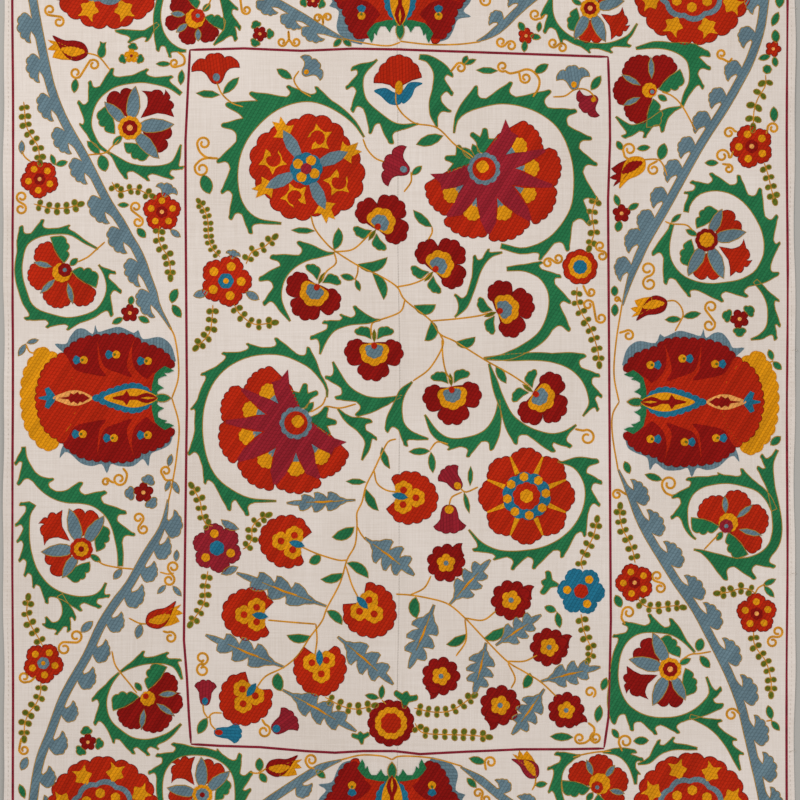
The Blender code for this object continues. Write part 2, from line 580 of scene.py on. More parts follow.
def beside(track, along, out):
    # the place this far along a path and this far out to its left, as seen on the cloth
    spots, lengths = track
    inside = min(max(along, 0), lengths[-1])
    at = [float(np.interp(inside, lengths, spots[:, k])) for k in (0, 1)]
    ahead, behind = min(inside + stitching["look"], lengths[-1]), max(inside - stitching["look"], 0)
    way = [
        float(np.interp(ahead, lengths, spots[:, k]) - np.interp(behind, lengths, spots[:, k]))
        for k in (0, 1)
    ]
    size = math.hypot(*way)
    tx, ty = way[0] / size, way[1] / size
    past = along - inside
    return (at[0] + tx * past + ty * out, at[1] + ty * past - tx * out)


def cutWhereMet(before, after):
    # two bits that overlap on a band's side are both cut where their edges cross
    for i in range(len(before) - 1, 0, -1):
        for j in range(1, len(after)):
            met = intersect_line_line_2d(before[i - 1], before[i], after[j - 1], after[j])
            if met:
                before[i:] = [tuple(met)]
                after[:j] = []
                return


# A band that follows a path: `widths` are (part of the way, width), and `bits` are what stands on
# its sides, each (part of the way, side, drawing, size) with the side 1 to the left, -1 to the right.
def band(path, widths, bits, thread, level=0):
    track = frameAlong(path)
    length = track[1][-1]
    parts, sizes = zip(*widths)
    outline = []
    for side in (1, -1):
        runs = [
            [(at * length + a * size, b * abs(size)) for a, b in drawing]
            for at, bitSide, drawing, size in bits
            if bitSide == side
        ]
        runs = [run if run[0][0] < run[-1][0] else run[::-1] for run in runs]
        runs = [[spot for spot in run if 0 <= spot[0] <= length] for run in runs]
        runs.sort(key=lambda run: run[0][0] + run[-1][0])
        for before, after in zip(runs, runs[1:]):
            cutWhereMet(before, after)
        for k in range(stitching["bandParts"] + 1):
            along = length * k / stitching["bandParts"]
            if not any(run[0][0] - 1 < along < run[-1][0] + 1 for run in runs):
                runs.append([(along, 0)])
        runs.sort(key=lambda run: run[0][0] + run[-1][0])
        edgeLine = []
        for along, out in sum(runs, []):
            half = float(np.interp(along / length, parts, sizes)) / 2
            edgeLine.append(beside(track, along, side * (half + out)))
        outline += edgeLine if side == 1 else edgeLine[::-1]
    fill(outline, thread, None, level, "ochre", edgeWidths["ochre"])


# The motifs, each drawn from its stem along +x, in squares. This is the thread that outlines each silk.
edgeThreads = {
    "scarlet": "wine",
    "darkRed": "wine",
    "crimson": "wine",
    "gold": "gold",
    "teal": "teal",
}
edgeWidths = {"ochre": 1.2, "wine": 0.9, "gold": 0.9, "teal": 0.9}
stemWidth = 2.0
curlWidth = 2.9
curlStep = 24               # degrees from point to point of a tendril
hookLobe = shape(
    [(-7, 0, -0.1), (-12.5, 3.5, -0.6), (-12, 10, -0.6), (-4.5, 13.5, -0.6), (4.5, 13.5, -0.6),
     (11, 10.5, -0.4), (16, 5.5), (11, 5.5, 0.1), (5, 3), (9, 1), (13, 0)]
)
curledLobe = shape(
    [(-6, 0, -0.1), (-9.5, 5, -0.5), (-8.5, 12, -0.5), (-2, 15, -0.5), (4.5, 14, -0.4), (9, 10.5, -0.3),
     (13, 6), (7.5, 5.4, 0.1), (2.5, 2), (4, 0)]
)
heartPetal = shape([(0, 0, 0.1), (11, -10, 0.6), (22, -9, 0.6), (20, 0, 0.6), (22, 10, 0.6), (11, 9, 0.1)])
squarePetal = shape(
    [(0, 0), (16, -8, -0.1), (26, -23), (29, -15, 0.4), (35, -13, 0.2), (34, -6, 0.4), (38, -4),
     (39, 4, -0.3), (33, 1, 0.5), (32, 10, 0.3), (27, 12), (20, 20, -0.2), (20, 11, -0.1), (13, 4)]
)
tulipShape = shape(
    [(0, 0, 0.3), (3, -5, 0.05), (8, -7.5, -0.15), (12, -12, -0.1), (12, -20, 0.3), (20, -16, 0.4),
     (21, -8, 0.5), (25, 0, 0.5), (21, 8, 0.4), (20, 16, 0.3), (12, 20, -0.1), (12, 12, -0.15),
     (8, 7.5, 0.05), (3, 5, 0.3)]
)
budBody = curve(
    [(0, 0), (3, 5.5), (12, 9), (20, 6), (26, -1), (30, -8), (35, -16), (29, -13.5), (22, -11), (13, -11),
     (4, -8)],
    closed=True
)
budCrown = shape(
    [(20, -5), (30, -9.5), (40, -12, 0.1), (34, -7.5, 0.1), (40, -2.5, 0.1), (32, -1.5, 0.1),
     (35, 5.5, 0.1), (16, 8)]
)
threeLobed = shape(
    [(0, -1.5), (7, -4), (10, -11, 0.6), (16, -10.5, -0.1), (14, -4), (18, -0.5, 0.3), (14.5, 4),
     (17, 11, 0.6), (11, 11.5), (7, 4), (0, 1.5)]
)
bellTulip = shape(
    [(0, 0, 0.3), (3, -7, 0.1), (14, -9.5, -0.1), (21, -17, 0.3), (26, -9, 0.4), (27, 0, 0.4), (26, 9, 0.3),
     (21, 17, -0.1), (14, 9.5, 0.1), (3, 7, 0.3)]
)
spear = shape([(0, -3, 0.15), (16, -8, 0.14), (40, 1, 0.02), (34, 5, 0.12), (16, 8, 0.2), (0, 3)])
toothed = shape(
    [(0, 0, 0.1), (4, -6.5, 0.5), (10, -7, 0.1), (12, -10.5, 0.4), (18, -10, 0.1), (21, -11, 0.4),
     (27, -5, 0.1), (29, 3), (16, 4, 0.1)]
)
sepal = shape(
    [(-8, 3), (-11, 9), (-12.5, 17), (-15, 19.5, 0.5), (-18.5, 16, 0.45), (-20, 10, 0.4), (-17.5, 4)]
)
fanLeaf = shape(
    [(0, -4), (7, -9, -0.1), (12, -17, 0.6), (17, -16, -0.1), (17, -7), (26, -6, 0.6), (27, -1, -0.1),
     (19, 2), (24, 9, 0.6), (20, 12, -0.1), (13, 6), (4, 5)]
)
bellShape = shape(
    [(0, 0, 0.2), (5, -5, -0.1), (12.5, -23.5, 0.2), (19, -21, 0.4), (27, -15, 0.4), (33, -6, 0.4),
     (33.5, 3, 0.4), (27, 12, 0.4), (18, 19, 0.3), (7, 24, -0.1), (5, 8, 0.2)]
)
spikyLeaf = shape(
    [(0, -1), (8, -1.5, 0.1), (14, -5, 0.2), (22, -13), (25, -12.5, -0.1), (26, -5, 0.2), (35, -13.5),
     (38, -12.5, -0.1), (38, -4.5, 0.2), (47, -11), (50, -9.5, -0.1), (50, -3, 0.1), (64, -1), (64, 1, 0.1),
     (53, 4, 0.1), (52, 11), (49, 12, 0.2), (41, 5, -0.1), (39, 14), (36, 14.5, 0.2), (28, 5, -0.1),
     (26, 13), (23, 13.5, 0.2), (14, 6, 0.1), (8, 2), (0, 1)]
)


def scalloped(points, pitch, bulge=0.4, closed=False):
    # the corners of small scallops along a smooth line
    spots, lengths = frameAlong(curve(points, closed))
    count = max(2, round(lengths[-1] / pitch))
    found = []
    for step in range(count + (not closed)):
        at = lengths[-1] * step / count
        found.append((*(float(np.interp(at, lengths, spots[:, k])) for k in (0, 1)), bulge))
    return found


def patch(points, thread, x=0, y=0, size=1, turn=0, flip=1, rows=None, level=0, edge=True):
    trim = edgeThreads.get(thread, "ochre") if edge else None
    fill(placed(points, x, y, size, turn, flip), thread, rows, level, trim, edgeWidths.get(trim))


def inlay(*drawing, **sewn):
    patch(*drawing, **sewn, edge=False)      # laid on another shape, with no outline of its own


def placedPoint(point, *place):
    return placed([point], *place)[0]


def scallopRound(count, r, bulge=0.5):
    # a round whose edge is a row of full scallops, with r the way out to the notches
    return shape([(*polar(r * 0.86, 360 * k / count), bulge) for k in range(count)])


def oval(long, wide=None, x=0, y=0, steps=14):
    wide = long if wide is None else wide
    angles = [math.tau * k / steps for k in range(steps)]
    return [(x + long * math.cos(a), y + wide * math.sin(a)) for a in angles]


def dot(x, y, r, thread, level=1, edge=False):
    patch(oval(r, steps=max(7, round(r * 1.6))), thread, x, y, level=level, edge=edge)


def stem(*points):
    line(curve(points), "amber", stemWidth)


def spiral(x, y, r, turn, hand, tight, steps):
    found = []
    for k in range(steps + 1):
        dx, dy = polar(r * (1 - tight * k / steps), turn + hand * curlStep * k)
        found.append((x + dx, y - dy))
    return found


def curl(x, y, r, turn, hand=1, lead=()):
    # a tendril about (x, y): it comes from `lead`, meets its circle at `turn` and winds in
    path = [*lead, *spiral(x, y, r, turn, hand, 0.68, 18)]
    line(curve(path, step=2) if lead else path, "amber", curlWidth)


def curls(ax, ay, bx, by, r, hand):
    # two tendrils about (ax, ay) and (bx, by), on one thread that crosses between them
    heading = math.degrees(math.atan2(ay - by, bx - ax))
    near = math.hypot(bx - ax, by - ay)
    r *= 1.2
    lean = math.degrees(math.asin(min(1, 2 * r / near)))
    start = heading + hand * (90 - lean)
    first = spiral(ax, ay, r, start, hand, 0.62, 17)
    second = spiral(bx, by, r, start + 180, hand, 0.62, 17)
    line(curve(first[::-1] + second, step=4), "amber", curlWidth)


def fork(x, y, turn, spread, r, stalk):
    # two tendrils that part at (x, y) and wind away from each other
    for side in (1, -1):
        bx, by = placedPoint((3, spread * side), x, y, 1, turn)
        curl(bx, by, r, turn - 80 * side, side, [*stalk, (x, y)])


def leaf(x, y, length, width, turn, bend=0.0, thread="green", level=0):
    swell = width / length
    patch(shape([(0, 0, swell - bend), (length, 0, swell + bend)]), thread, x, y, 1, turn, level=level)


def leaves(thread, *entries):
    for entry in entries:
        leaf(*entry, thread=thread)


def garland(*points, gap=9.4, long=3.0, wide=2.7):
    # round leaves in pairs along a stem, and one at its end
    path = curve(points)
    track = frameAlong(path)
    line(path, "amber", 1.5)
    count = max(1, round(track[1][-1] / gap))
    for k in range(count):
        at = track[1][-1] * (k + 0.5) / count
        x, y = beside(track, at, 0)
        aheadX, aheadY = beside(track, at + 1, 0)
        heading = math.degrees(math.atan2(y - aheadY, aheadX - x))
        for side in (1, -1):
            size, lean = shake.uniform(0.85, 1.08), shake.uniform(55, 75)
            patch(oval(long, wide, long + 0.5, 0, 10), "olive", x, y, size, heading + side * lean)
    x, y = path[-1]
    patch(oval(long * 1.3, wide, long, 0, 10), "olive", x, y, 1, heading)


def vine(points, tips, width=9, lean=1, ends=(1.5, 1.5), level=0):
    # a thorned stem: each thorn stands where its tip is wanted, its long side behind it when `lean` is 1
    path = curve(points)
    track = frameAlong(path)
    length = track[1][-1]
    widths = ((0, ends[0]), (0.16, width * 0.75), (0.5, width), (0.84, width * 0.75), (1, ends[1]))
    parts, sizes = zip(*widths)
    bits = []
    found = []
    for x, y in tips:
        away = np.hypot(track[0][:, 0] - x, track[0][:, 1] - y)
        near = int(np.argmin(away))
        (ax, ay), (bx, by) = path[max(near - 1, 0)], path[min(near + 1, len(path) - 1)]
        side = 1 if (bx - ax) * (y - ay) < (by - ay) * (x - ax) else -1
        found.append((float(track[1][near]), side, float(away[near])))
    for at, side, away in found:
        behind = [lean * (at - other) for other, hand, _ in found if hand == side and lean * (at - other) > 1]
        reach = min(behind, default=lean * at if lean > 0 else length - at)
        at /= length
        high = max(2.5, away - float(np.interp(at, parts, sizes)) / 2)
        foot, toe = -max(high * 1.2, min(reach * 0.8, high * 2.1), 6), max(high * 0.3, 1.2)
        blunt = min(2.0, high * 0.26)
        fin = curve([(foot, 0), (foot * 0.7, high * 0.2), (foot * 0.4, high * 0.52),
                     (foot * 0.16, high * 0.8), (-blunt * 0.5, high), (blunt * 0.6, high * 0.97),
                     (blunt * 0.5, high * 0.78), (-blunt * 0.3, high * 0.42), (toe * 0.2, high * 0.16),
                     (toe + blunt * 0.6, 0)], step=1.5)
        bits.append((at, side, fin if lean > 0 else [(-a, b) for a, b in fin], 1))
    band(path, widths, bits, "green", level)


def ribbon(points, lobeSpots, width=8.5, size=1.0, drawing=hookLobe):
    # a slate band with a scalloped lobe at each of the spots, on its right as it runs
    path = curve(points)
    track = frameAlong(path)
    bits = []
    for x, y in lobeSpots:
        near = int(np.argmin(np.hypot(track[0][:, 0] - x, track[0][:, 1] - y)))
        bits.append((float(track[1][near] / track[1][-1]), -1, drawing, size * shake.uniform(0.95, 1.05)))
    band(path, ((0, width), (0.9, width), (1, 1.5)), bits, "slate")


def fanOutline(centre, petals, base=(), waist=0.6, bulge=0.42, hump=0.14):
    # petals are (first angle, last angle, radius, scallops) about a centre; notches fall between
    corners = list(base)
    for first, last, radius, count in petals:
        for k in range(count + 1):
            part = k / count
            reach = radius * (1 - hump + hump * math.sin(math.pi * part))
            dx, dy = polar(reach, first + (last - first) * part)
            corners.append((centre + dx, dy, bulge if k < count else 0))
        dx, dy = polar(radius * waist, last + 2)
        corners.append((centre + dx, dy, 0))
    return shape(corners[:-1])


def roundFlower(x, y, r, turn=90, petals=5, thread="scarlet", spot="gold", heart="darkRed", eye="peach",
                spots=None):
    patch(lobes(petals, r, r * 0.78, bumps=4, bulge=0.5, spread=0.46, start=0), thread, x, y, 1, turn)
    spots = spots or petals
    for k in range(spots):
        dx, dy = polar(r * 0.61, turn + 360 * k / spots)
        inlay(lobes(5, r * 0.23, r * 0.17, bumps=1), spot, x + dx, y - dy, 1, turn + 70 * k, level=1)
    inlay(lobes(6, r * 0.36, r * 0.29, bumps=1), heart, x, y, 1, turn + 20, level=1)
    if eye:
        dot(x, y, r * 0.12, eye, 2)


def ringFlower(x, y, r, *silks):
    # scalloped rounds, one on another
    for k, (thread, share) in enumerate(zip(silks, (1, 0.67, 0.4))):
        patch(lobes(9, r * share, r * share * 0.9, bumps=1), thread, x, y, 1, 7 * k, level=k, edge=k == 0)


def starFlower(x, y, r, turn=0, thread="darkRed", star="gold", eye="slate"):
    # nine bumps, one of which ends in a curled tail at `turn`
    patch(scallopRound(9, r * 0.92, 0.8), thread, x, y, 1, turn + 20)
    tail = [(0.55, -0.42, 0.1), (0.92, -0.36, -0.15), (1.02, -0.08, -0.2), (1.26, 0.12, 0.3),
            (0.88, 0.32, 0.1), (0.5, 0.3)]
    patch(shape([(a * r, b * r, *bulge) for a, b, *bulge in tail]), thread, x, y, 1, turn, level=-0.3)
    inlay(scallopRound(5, r * 0.42, 0.85), star, x, y, 1, turn + 10, level=1)
    dot(x, y, r * 0.13, eye, 2)


def posy(x, y, r, turn, leafAngles, thread="scarlet", leafThread="green", heart="peach"):
    tuft = [(a * 0.72, b) for a, b in lobes(3, r * 0.72, r * 0.5, bumps=2, start=0)]
    for angle in leafAngles:
        dx, dy = polar(r * 1.35, angle)
        patch(tuft, leafThread, x + dx, y - dy, 1, angle)
    patch(lobes(5, r, r * 0.66, bumps=2, start=0), thread, x, y, 1, turn)
    dot(x, y, r * 0.22, heart)


def tulip(x, y, size, turn, thread="scarlet", base="slate", wide=1.0):
    patch([(a, b * wide) for a, b in tulipShape], thread, x, y, size / 25, turn, rows=turn)
    if base:
        inlay(oval(3.4, 3.0, 5.5, 0), base, x, y, size / 25, turn, level=1)


def bell(x, y, size, turn, thread="crimson", base="teal", wide=1.0):
    patch([(a, b * wide) for a, b in bellTulip], thread, x, y, size / 27, turn, rows=turn)
    inlay(oval(4.2, 4.8 * wide, 4.5, 0), base, x, y, size / 27, turn, level=1)


def bud(x, y, size, turn, flip=1, body="darkRed", crown="gold", seed="gold"):
    scale = size / 34
    patch(budCrown, crown, x, y, scale, turn, flip)
    patch(budBody, body, x, y, scale, turn, flip, level=0.5)
    if seed:
        grain = shape(scalloped([(3, 0), (9, -3), (15, -4.5), (21, -2), (27, 3), (19, 4.5), (12, 4)], 4, 0.4,
                                closed=True))
        inlay(grain, seed, x, y, scale, turn, -flip, level=1.5)


def tearBud(x, y, size, turn):
    # a closed bud: a rounded body with a small forked tip
    scale = size / 20
    drawing = shape([(0, 0, 0.3), (5, -4.5, 0.15), (13, -3, -0.1), (18, -3.4), (16.5, 0), (18, 3.4, -0.1),
                     (13, 3, 0.15), (5, 4.5, 0.3)])
    patch(drawing, "green", x, y, scale, turn)


def gardenFlower(x, y, turn):
    # three broad petals round a banded eye at (x, y), with two sepals and a calyx at the stem
    for flip in (1, -1):
        patch(sepal, "green", x, y, 1, turn, flip)
    side = [(-4, -4), (-5, -12, 0.5), (-7, -22, 0.55), (-1, -28, 0.6), (10, -28, 0.55), (19, -20, 0.2),
            (16, -12)]
    front = [(20, -16, 0.6), (29, -13, 0.6), (33, -3, 0.6), (31, 8, 0.6), (22, 15, 0.2)]
    corners = side + front + [(15, 11, 0.2), (19, 19, 0.6), (12, 27, 0.6), (2, 28, 0.55), (-6, 22, 0.5),
                              (-5, 12)]
    patch(shape([*corners, (-5, 4)]), "darkRed", x, y, 0.96, turn)
    banded = fanOutline(0, [(-115, 115, 12.5, 5)], [(-7, -6), (-7, 6)], 0.6, 0.5)
    inlay(banded, "gold", *placedPoint((2.5, 0), x, y, 1, turn), 1.18, turn, level=1)
    inlay(banded, "slate", *placedPoint((1.5, 0), x, y, 1, turn), 0.72, turn, level=2)
    inlay(oval(3.4, 3.0, -1.5, 0), "scarlet", x, y, 1, turn, level=3)
    leaf(*placedPoint((-5, 0), x, y, 1, turn), 13, 4, turn + 180, thread="olive")


def carnation(x, y, r, turn):
    # (x, y) is its middle, `turn` the way it opens; a wedge is left out at the stem for the calyx
    steps = range(-125, 126, 25)
    rim = [(*polar(r * (0.92 + 0.08 * abs(math.cos(math.radians(1.5 * at)))), at), 0.5) for at in steps]
    patch(shape([(-r * 0.42, 0), (*polar(r * 1.06, -146), 0.15), *rim, (*polar(r * 1.06, 146), 0)]),
          "scarlet", x, y, 1, turn)
    for k, angle in enumerate((8, 128, -112)):
        dx, dy = polar(r * 0.33, angle)
        bx, by = placedPoint((dx - r * 0.14, dy), x, y, 1, turn)
        inlay(scallopRound(6, r * 0.37, 0.6), "gold", bx, by, level=1 + 0.3 * k)
        inlay(scallopRound(4, r * 0.15), "scarlet", bx, by, 1, turn + 60 * k, level=2.4)
    leaf(*placedPoint((-r * 0.14, 0), x, y, 1, turn), r * 0.6, r * 0.26, turn + 180, thread="teal", level=3)


def scrollFlower(x, y, r, turn, petal="darkRed", ring=("gold", "darkRed", "peach")):
    # the flower inside a scroll: a ringed eye, four spears, three petals and two green leaves
    scale = r / 44
    for side in (1, -1):
        bx, by = placedPoint(polar(16, 156 * side), x, y, scale, turn)
        patch(toothed, "green", bx, by, scale, turn + side * 66, -side)
    for angle, drawing, out, size in ((61, heartPetal, 12, 1.15), (-63, heartPetal, 14, 1.15),
                                      (-2, squarePetal, 15, 0.95)):
        bx, by = placedPoint(polar(out, angle), x, y, scale, turn)
        patch(drawing, petal, bx, by, scale * size, turn + angle)
    for angle, out, side in ((36, 42, 1), (-39, 44, -1), (88, 36, 1), (-90, 42, -1)):
        bx, by = placedPoint(polar(9, angle), x, y, scale, turn)
        patch(spear, "slate", bx, by, scale * (out - 9) / 40, turn + angle, side, level=1.0)
    for k, (thread, wide) in enumerate(zip(ring, (12.6, 8.2, 3.2))):
        inlay(lobes(9, wide, wide * 0.88, bumps=1), thread, x, y, scale, turn, level=1.9 + 0.9 * k)
    bx, by = placedPoint((-11, 0), x, y, scale, turn)
    leaf(bx, by, 13 * scale, 6 * scale, turn + 180, level=0.5)


def halfFlower(x, y, petals, thread="darkRed", heart="scarlet", gold=11, heartSize=8, waist=0.82, eye="slate",
               leafSize=1):
    # petals are (first angle, last angle, radius, scallops) about the eye, parted by slate leaves
    first, last = petals[0][0], petals[-1][1]
    middle = (first + last) / 2
    for side, angle in ((1, last), (-1, first)):
        bx, by = placedPoint(polar(7, angle + side * 20), x, y)
        patch(toothed, "green", bx, by, leafSize, angle + side * 5, -side)
    back = [polar(5, middle + 120), polar(5, middle - 120)]
    patch(fanOutline(0, petals, back, waist, 0.5), thread, x, y)
    for (_, before, reach, _), (after, _, otherReach, _) in zip(petals, petals[1:]):
        angle = (before + after) / 2
        bx, by = placedPoint(polar(13, angle), x, y)
        leaf(bx, by, min(reach, otherReach) - 16, 6, angle, thread="slate", level=1)
    bx, by = placedPoint((gold * 0.36, 0), x, y, 1, middle)
    inlay(lobes(9, gold, gold * 0.82, bumps=1), "gold", bx, by, 1, middle, level=2)
    inlay(lobes(7, heartSize, heartSize * 0.8, bumps=1), heart, x, y, 1, middle, level=3)
    if eye:
        dot(x, y, 2.2, eye, 4)
    bx, by = placedPoint((-7, 0), x, y, 1, middle)
    leaf(bx, by, 10, 6, middle + 180)


def spikyLeaves(*entries):
    for x, y, tipX, tipY, width in entries:
        size = math.hypot(tipX - x, tipY - y) / 64
        turn = math.degrees(math.atan2(y - tipY, tipX - x))
        drawing = [(a, b * width / 28 / size) for a, b in spikyLeaf]
        patch(drawing, "slate", x, y, size, turn)
        line(placed([(10, 0), (26, 0.6), (46, 0)], x, y, size, turn), "ochre", 1.5, 1)
        line(placed([(21, 0), (30, 0.6), (38, 0)], x, y, size, turn), "gold", 2.8, 1.6)


def rosette(x, y, r, turn=22):
    patch(lobes(13, r, r * 0.95, bumps=2), "scarlet", x, y)
    flame = shape([(-11, -1.5), (-6, -5, 0.2), (-2, -11), (3, -6.5, -0.2), (11, -9, 0.1), (8, -3, -0.3),
                   (8, 3, 0.1), (11, 9, -0.2), (3, 6.5), (-2, 11, 0.2), (-6, 5), (-11, 1.5)])
    for k in range(8):
        dx, dy = polar(r * 0.76, 45 * k + turn)
        inlay(flame, "gold", x + dx, y - dy, r * 0.165 / 11, 45 * k + turn, level=1)
    inlay(lobes(9, r * 0.63, r * 0.57, bumps=1), "slate", x, y, 1, turn + 5, level=1)
    inlay(lobes(9, r * 0.55, r * 0.48, bumps=1), "scarlet", x, y, 1, turn + 5, level=2)
    for k in range(8):
        dx, dy = polar(r * 0.37, 45 * k + turn + 24)
        inlay(lobes(6, r * 0.105, r * 0.08, bumps=1), "gold", x + dx, y - dy, level=3)
    inlay(lobes(8, r * 0.2, r * 0.17, bumps=1), "teal", x, y, level=3)
    dot(x, y, r * 0.1, "gold", 4)
    dot(x, y, r * 0.04, "peach", 5)


# The great lotus head, drawn from its stem outwards: the outer edge of the slate above and below the
# body, the scalloped rim of the body, and one dark lobe of three on each side.
lotus = {
    "slateAbove": [(-3, 37), (1, 51), (7, 58), (15, 61), (30, 59), (34.7, 68), (39, 65), (53, 71), (64, 69),
                   (75, 66), (77.5, 73), (80, 64), (88, 69), (96, 69), (103, 61), (107, 54), (118, 54),
                   (109, 45)],
    "slateBelow": [(0, 37), (3, 46), (11, 51), (22, 56), (24.5, 68), (30, 61), (40, 68), (54, 68), (62, 66),
                   (66, 75), (71, 66), (81, 68), (92, 65), (102, 56), (108, 54), (113, 60), (110, 48),
                   (104, 44)],
    "rim": [(-1, -31), (5, -42), (17, -50), (31, -54), (39, -61), (53, -63), (67, -62), (81, -61),
            (92, -58), (101, -53), (110, -44), (119, -38), (126, -33), (131, -23), (134, -13), (136, 0)],
    "lobes": [
        [(108, 46), (104, 38), (97, 28), (82, 24), (67, 22), (73, 31), (75, 44), (75.5, 59)],
        [(75.5, 59), (73, 44), (68, 31), (54, 25), (41, 21), (46, 31), (44, 44), (39.5, 57)],
        [(39.5, 57), (41, 44), (39, 32), (34, 25), (26, 19), (20, 25), (8, 27), (-1, 31)],
    ],
}


def palmette(x, y, turn, long=1.0, wide=1.0, flip=1, corner=(-1, 31)):
    def lay(points, thread, level, edge=False, rows=None):
        stretched = [(a * long, b * wide) for a, b in points]
        patch(stretched, thread, x, y, 1, turn, flip, rows, level, edge)

    for side, outer in ((1, "slateAbove"), (-1, "slateBelow")):
        edging = curve(lotus[outer], step=4) + [(60, 40), (8, 30)]
        lay([(a, b * side) for a, b in edging], "slate", 0, rows=turn + 90)
    fringe = [(114, 40), (122, 45), (128, 51), (134, 49), (141, 39), (147, 28), (150, 13), (150, -8),
              (147, -26), (141, -38), (133, -46), (125, -54), (119, -50), (114, -42)]
    lay(shape(scalloped(fringe[::-1], 11, 0.45)), "gold", 0.5, edge=True)
    edgeRow = scalloped(mirrored(lotus["rim"]), 8.6, 0.55)[:-1]
    hollow = [corner, (9, 27), (15, 21), (17, 10), (18, 0), (17, -10), (15, -21), (8, -28)]
    lay(shape(edgeRow + hollow), "scarlet", 1.2, edge=True)
    upper = [(a, b) for a, b, _ in edgeRow if b > 0] + [corner]
    for inner in lotus["lobes"]:
        ends = (inner[0], inner[-1])
        near, far = (min(range(len(upper)), key=lambda k: math.dist(upper[k], end)) for end in ends)
        outer = upper[near:far + 1]
        for side in (1, -1):
            contour = outer[:1] + sum(
                ([*arc(p, q, 0.5, stepAngle=40), q] for p, q in zip(outer, outer[1:])), []
            )
            lay([(a, b * side) for a, b in contour + curve(inner[::-1], step=5)[1:-1]], "darkRed", 1.8)
    for a, b in ((92, 38), (59.6, 43.4), (28, 37), (93, -36), (61.8, -40), (28, -37)):
        bx, by = placedPoint((a * long, b * wide), x, y, 1, turn, flip)
        florets = shape([(0, -2.5), (6, -6, 0.4), (9.5, -2.5, 0.5), (9.5, 2.5, 0.4), (6, 6), (0, 2.5)])
        inlay(florets, "teal", bx, by, 0.75, turn, level=2.6)
        inlay(lobes(5, 5.4, 3.8, bumps=1), "gold", *placedPoint((-3, 0), bx, by, 1, turn), level=2.8)
        dot(*placedPoint((-1.5, 0), bx, by, 1, turn), 1.4, "olive", 3.8)
    almond = [(17, -2), (28, -11), (38, -14.5), (52, -12), (66, -7), (76, -2.5), (81, 0)]
    lay(shape(scalloped(mirrored(almond), 8, 0.4)), "teal", 2.4)
    lay(curve(mirrored([(15, 0), (26, -7), (40, -9.6), (54, -6.5), (69, 0)]), closed=True), "gold", 3.2)
    lay(shape([(15, 0, 0.15), (26, -5.2, 0.1), (36, -1.8), (43, -2), (46, -7.5), (49.5, -3), (60, -0.8),
               (60, 0.8), (49.5, 3), (46, 7.5), (43, 2), (36, 1.8, 0.1), (26, 5.2, 0.15)]), "darkRed", 4.0)
    lay(mirrored([(17, 0), (25, -1.3), (32, 0)]), "gold", 4.8)
    lay(curve(mirrored([(80, 0), (91, -6.6), (101, -7.6), (110, -5), (120, 0)]), closed=True), "peach", 2.4)
    flames = [(83, 0), (90, -4.5), (93, -3.5), (95, -6), (99, -3.5), (102, -5), (104, -1.5), (115, 0)]
    lay(mirrored(flames), "darkRed", 3.2)
    lay(mirrored([(117, 0), (118, -3.5), (124, -11), (128, -9), (126, -2.5), (134, -0.8)]), "teal", 2.4)
    green = shape([(14, 1), (16, 6), (9, 10, -0.15), (15, 14), (15, 19), (6, 22.5, -0.15), (9, 25),
                   (-1, 27.5, 0.2), (8, 32), (18, 24, 0.1), (21, 12), (21, 1)][::-1])
    for side in (1, -1):
        lay([(a, b * side) for a, b in green], "green", 2.8)
    lay(shape([(2, 0, 0.45), (20, 0, 0.45)]), "green", 3.2, edge=True)


def fanRosette(x, y, turn, flip=1):
    # the largest flower: six scarlet petals parted by crimson rays, about a beaded heart set well to one side
    gaps = (-112, -74, -32, 6, 40, 71, 107)
    reach = (63, 69, 74, 78, 76, 64)
    spots = table("angle out", (-88, 41), (-51, 44.5), (-12, 47), (24, 50), (55, 46.5), (87, 41))
    for angle, size in ((146, 0.95), (-130, 0.95)):
        bx, by = placedPoint(polar(14, math.copysign(150, angle)), x, y, 1, turn, flip)
        patch(fanLeaf, "green", bx, by, size, turn + flip * angle, flip)
    petals = [(a, b - 1, r, 5) for a, b, r in zip(gaps, gaps[1:], reach)]
    base = [polar(37, 122), polar(14, 150), polar(14, -150), polar(37, -122)]
    patch(fanOutline(0, petals, base, 0.9, 0.5, 0.06), "scarlet", x, y, 1, turn, flip)
    rays = [polar(13, -150), polar(37, -119), polar(54, -120.5), polar(46, -108)]
    for k, spot in enumerate(spots):
        angle, out = spot["angle"], spot["out"]
        rays += [polar(out * 1.16, angle - 11), polar(out * 0.64, angle), polar(out * 1.16, angle + 11)]
        if k < 5:
            rays += [polar((reach[k] + reach[k + 1]) * 0.455, gaps[k + 1] + a) for a in (-1.4, 1.4)]
    rays += [polar(46, 108), polar(54, 120.5), polar(37, 119), polar(13, 150)]
    inlay(rays, "crimson", x, y, 1, turn, flip, level=1)
    cloud = shape(
        [(-8, -2), (-2, -5.5, -0.1), (3, -8.5, 0.5), (6.5, -4, 0.55), (8, 1.5, 0.55), (5, 6.5, 0.4),
         (3, 8.5, -0.1), (-2, 5.5), (-8, 2)]
    )
    for spot in spots:
        bx, by = placedPoint(polar(spot["out"], spot["angle"]), x, y, 1, turn, flip)
        inlay(cloud, "gold", bx, by, 1, turn + flip * spot["angle"], flip, level=2)
        inlay([(-15, 0), (-6, -3.2), (-6, 3.2)], "slate", bx, by, 1, turn + flip * spot["angle"], level=2.2)
    inlay(scallopRound(11, 17.5), "slate", x, y, level=2)
    inlay(oval(11.8, steps=18), "scarlet", x, y, level=3)
    inlay(scallopRound(4, 6.5, 0.6), "gold", *placedPoint((-2.5, 0), x, y, 1, turn), 1, turn, level=4)
    leaf(*placedPoint((-12, 2), x, y, 1, turn, flip), 15, 7, turn + 180 - flip * 12)


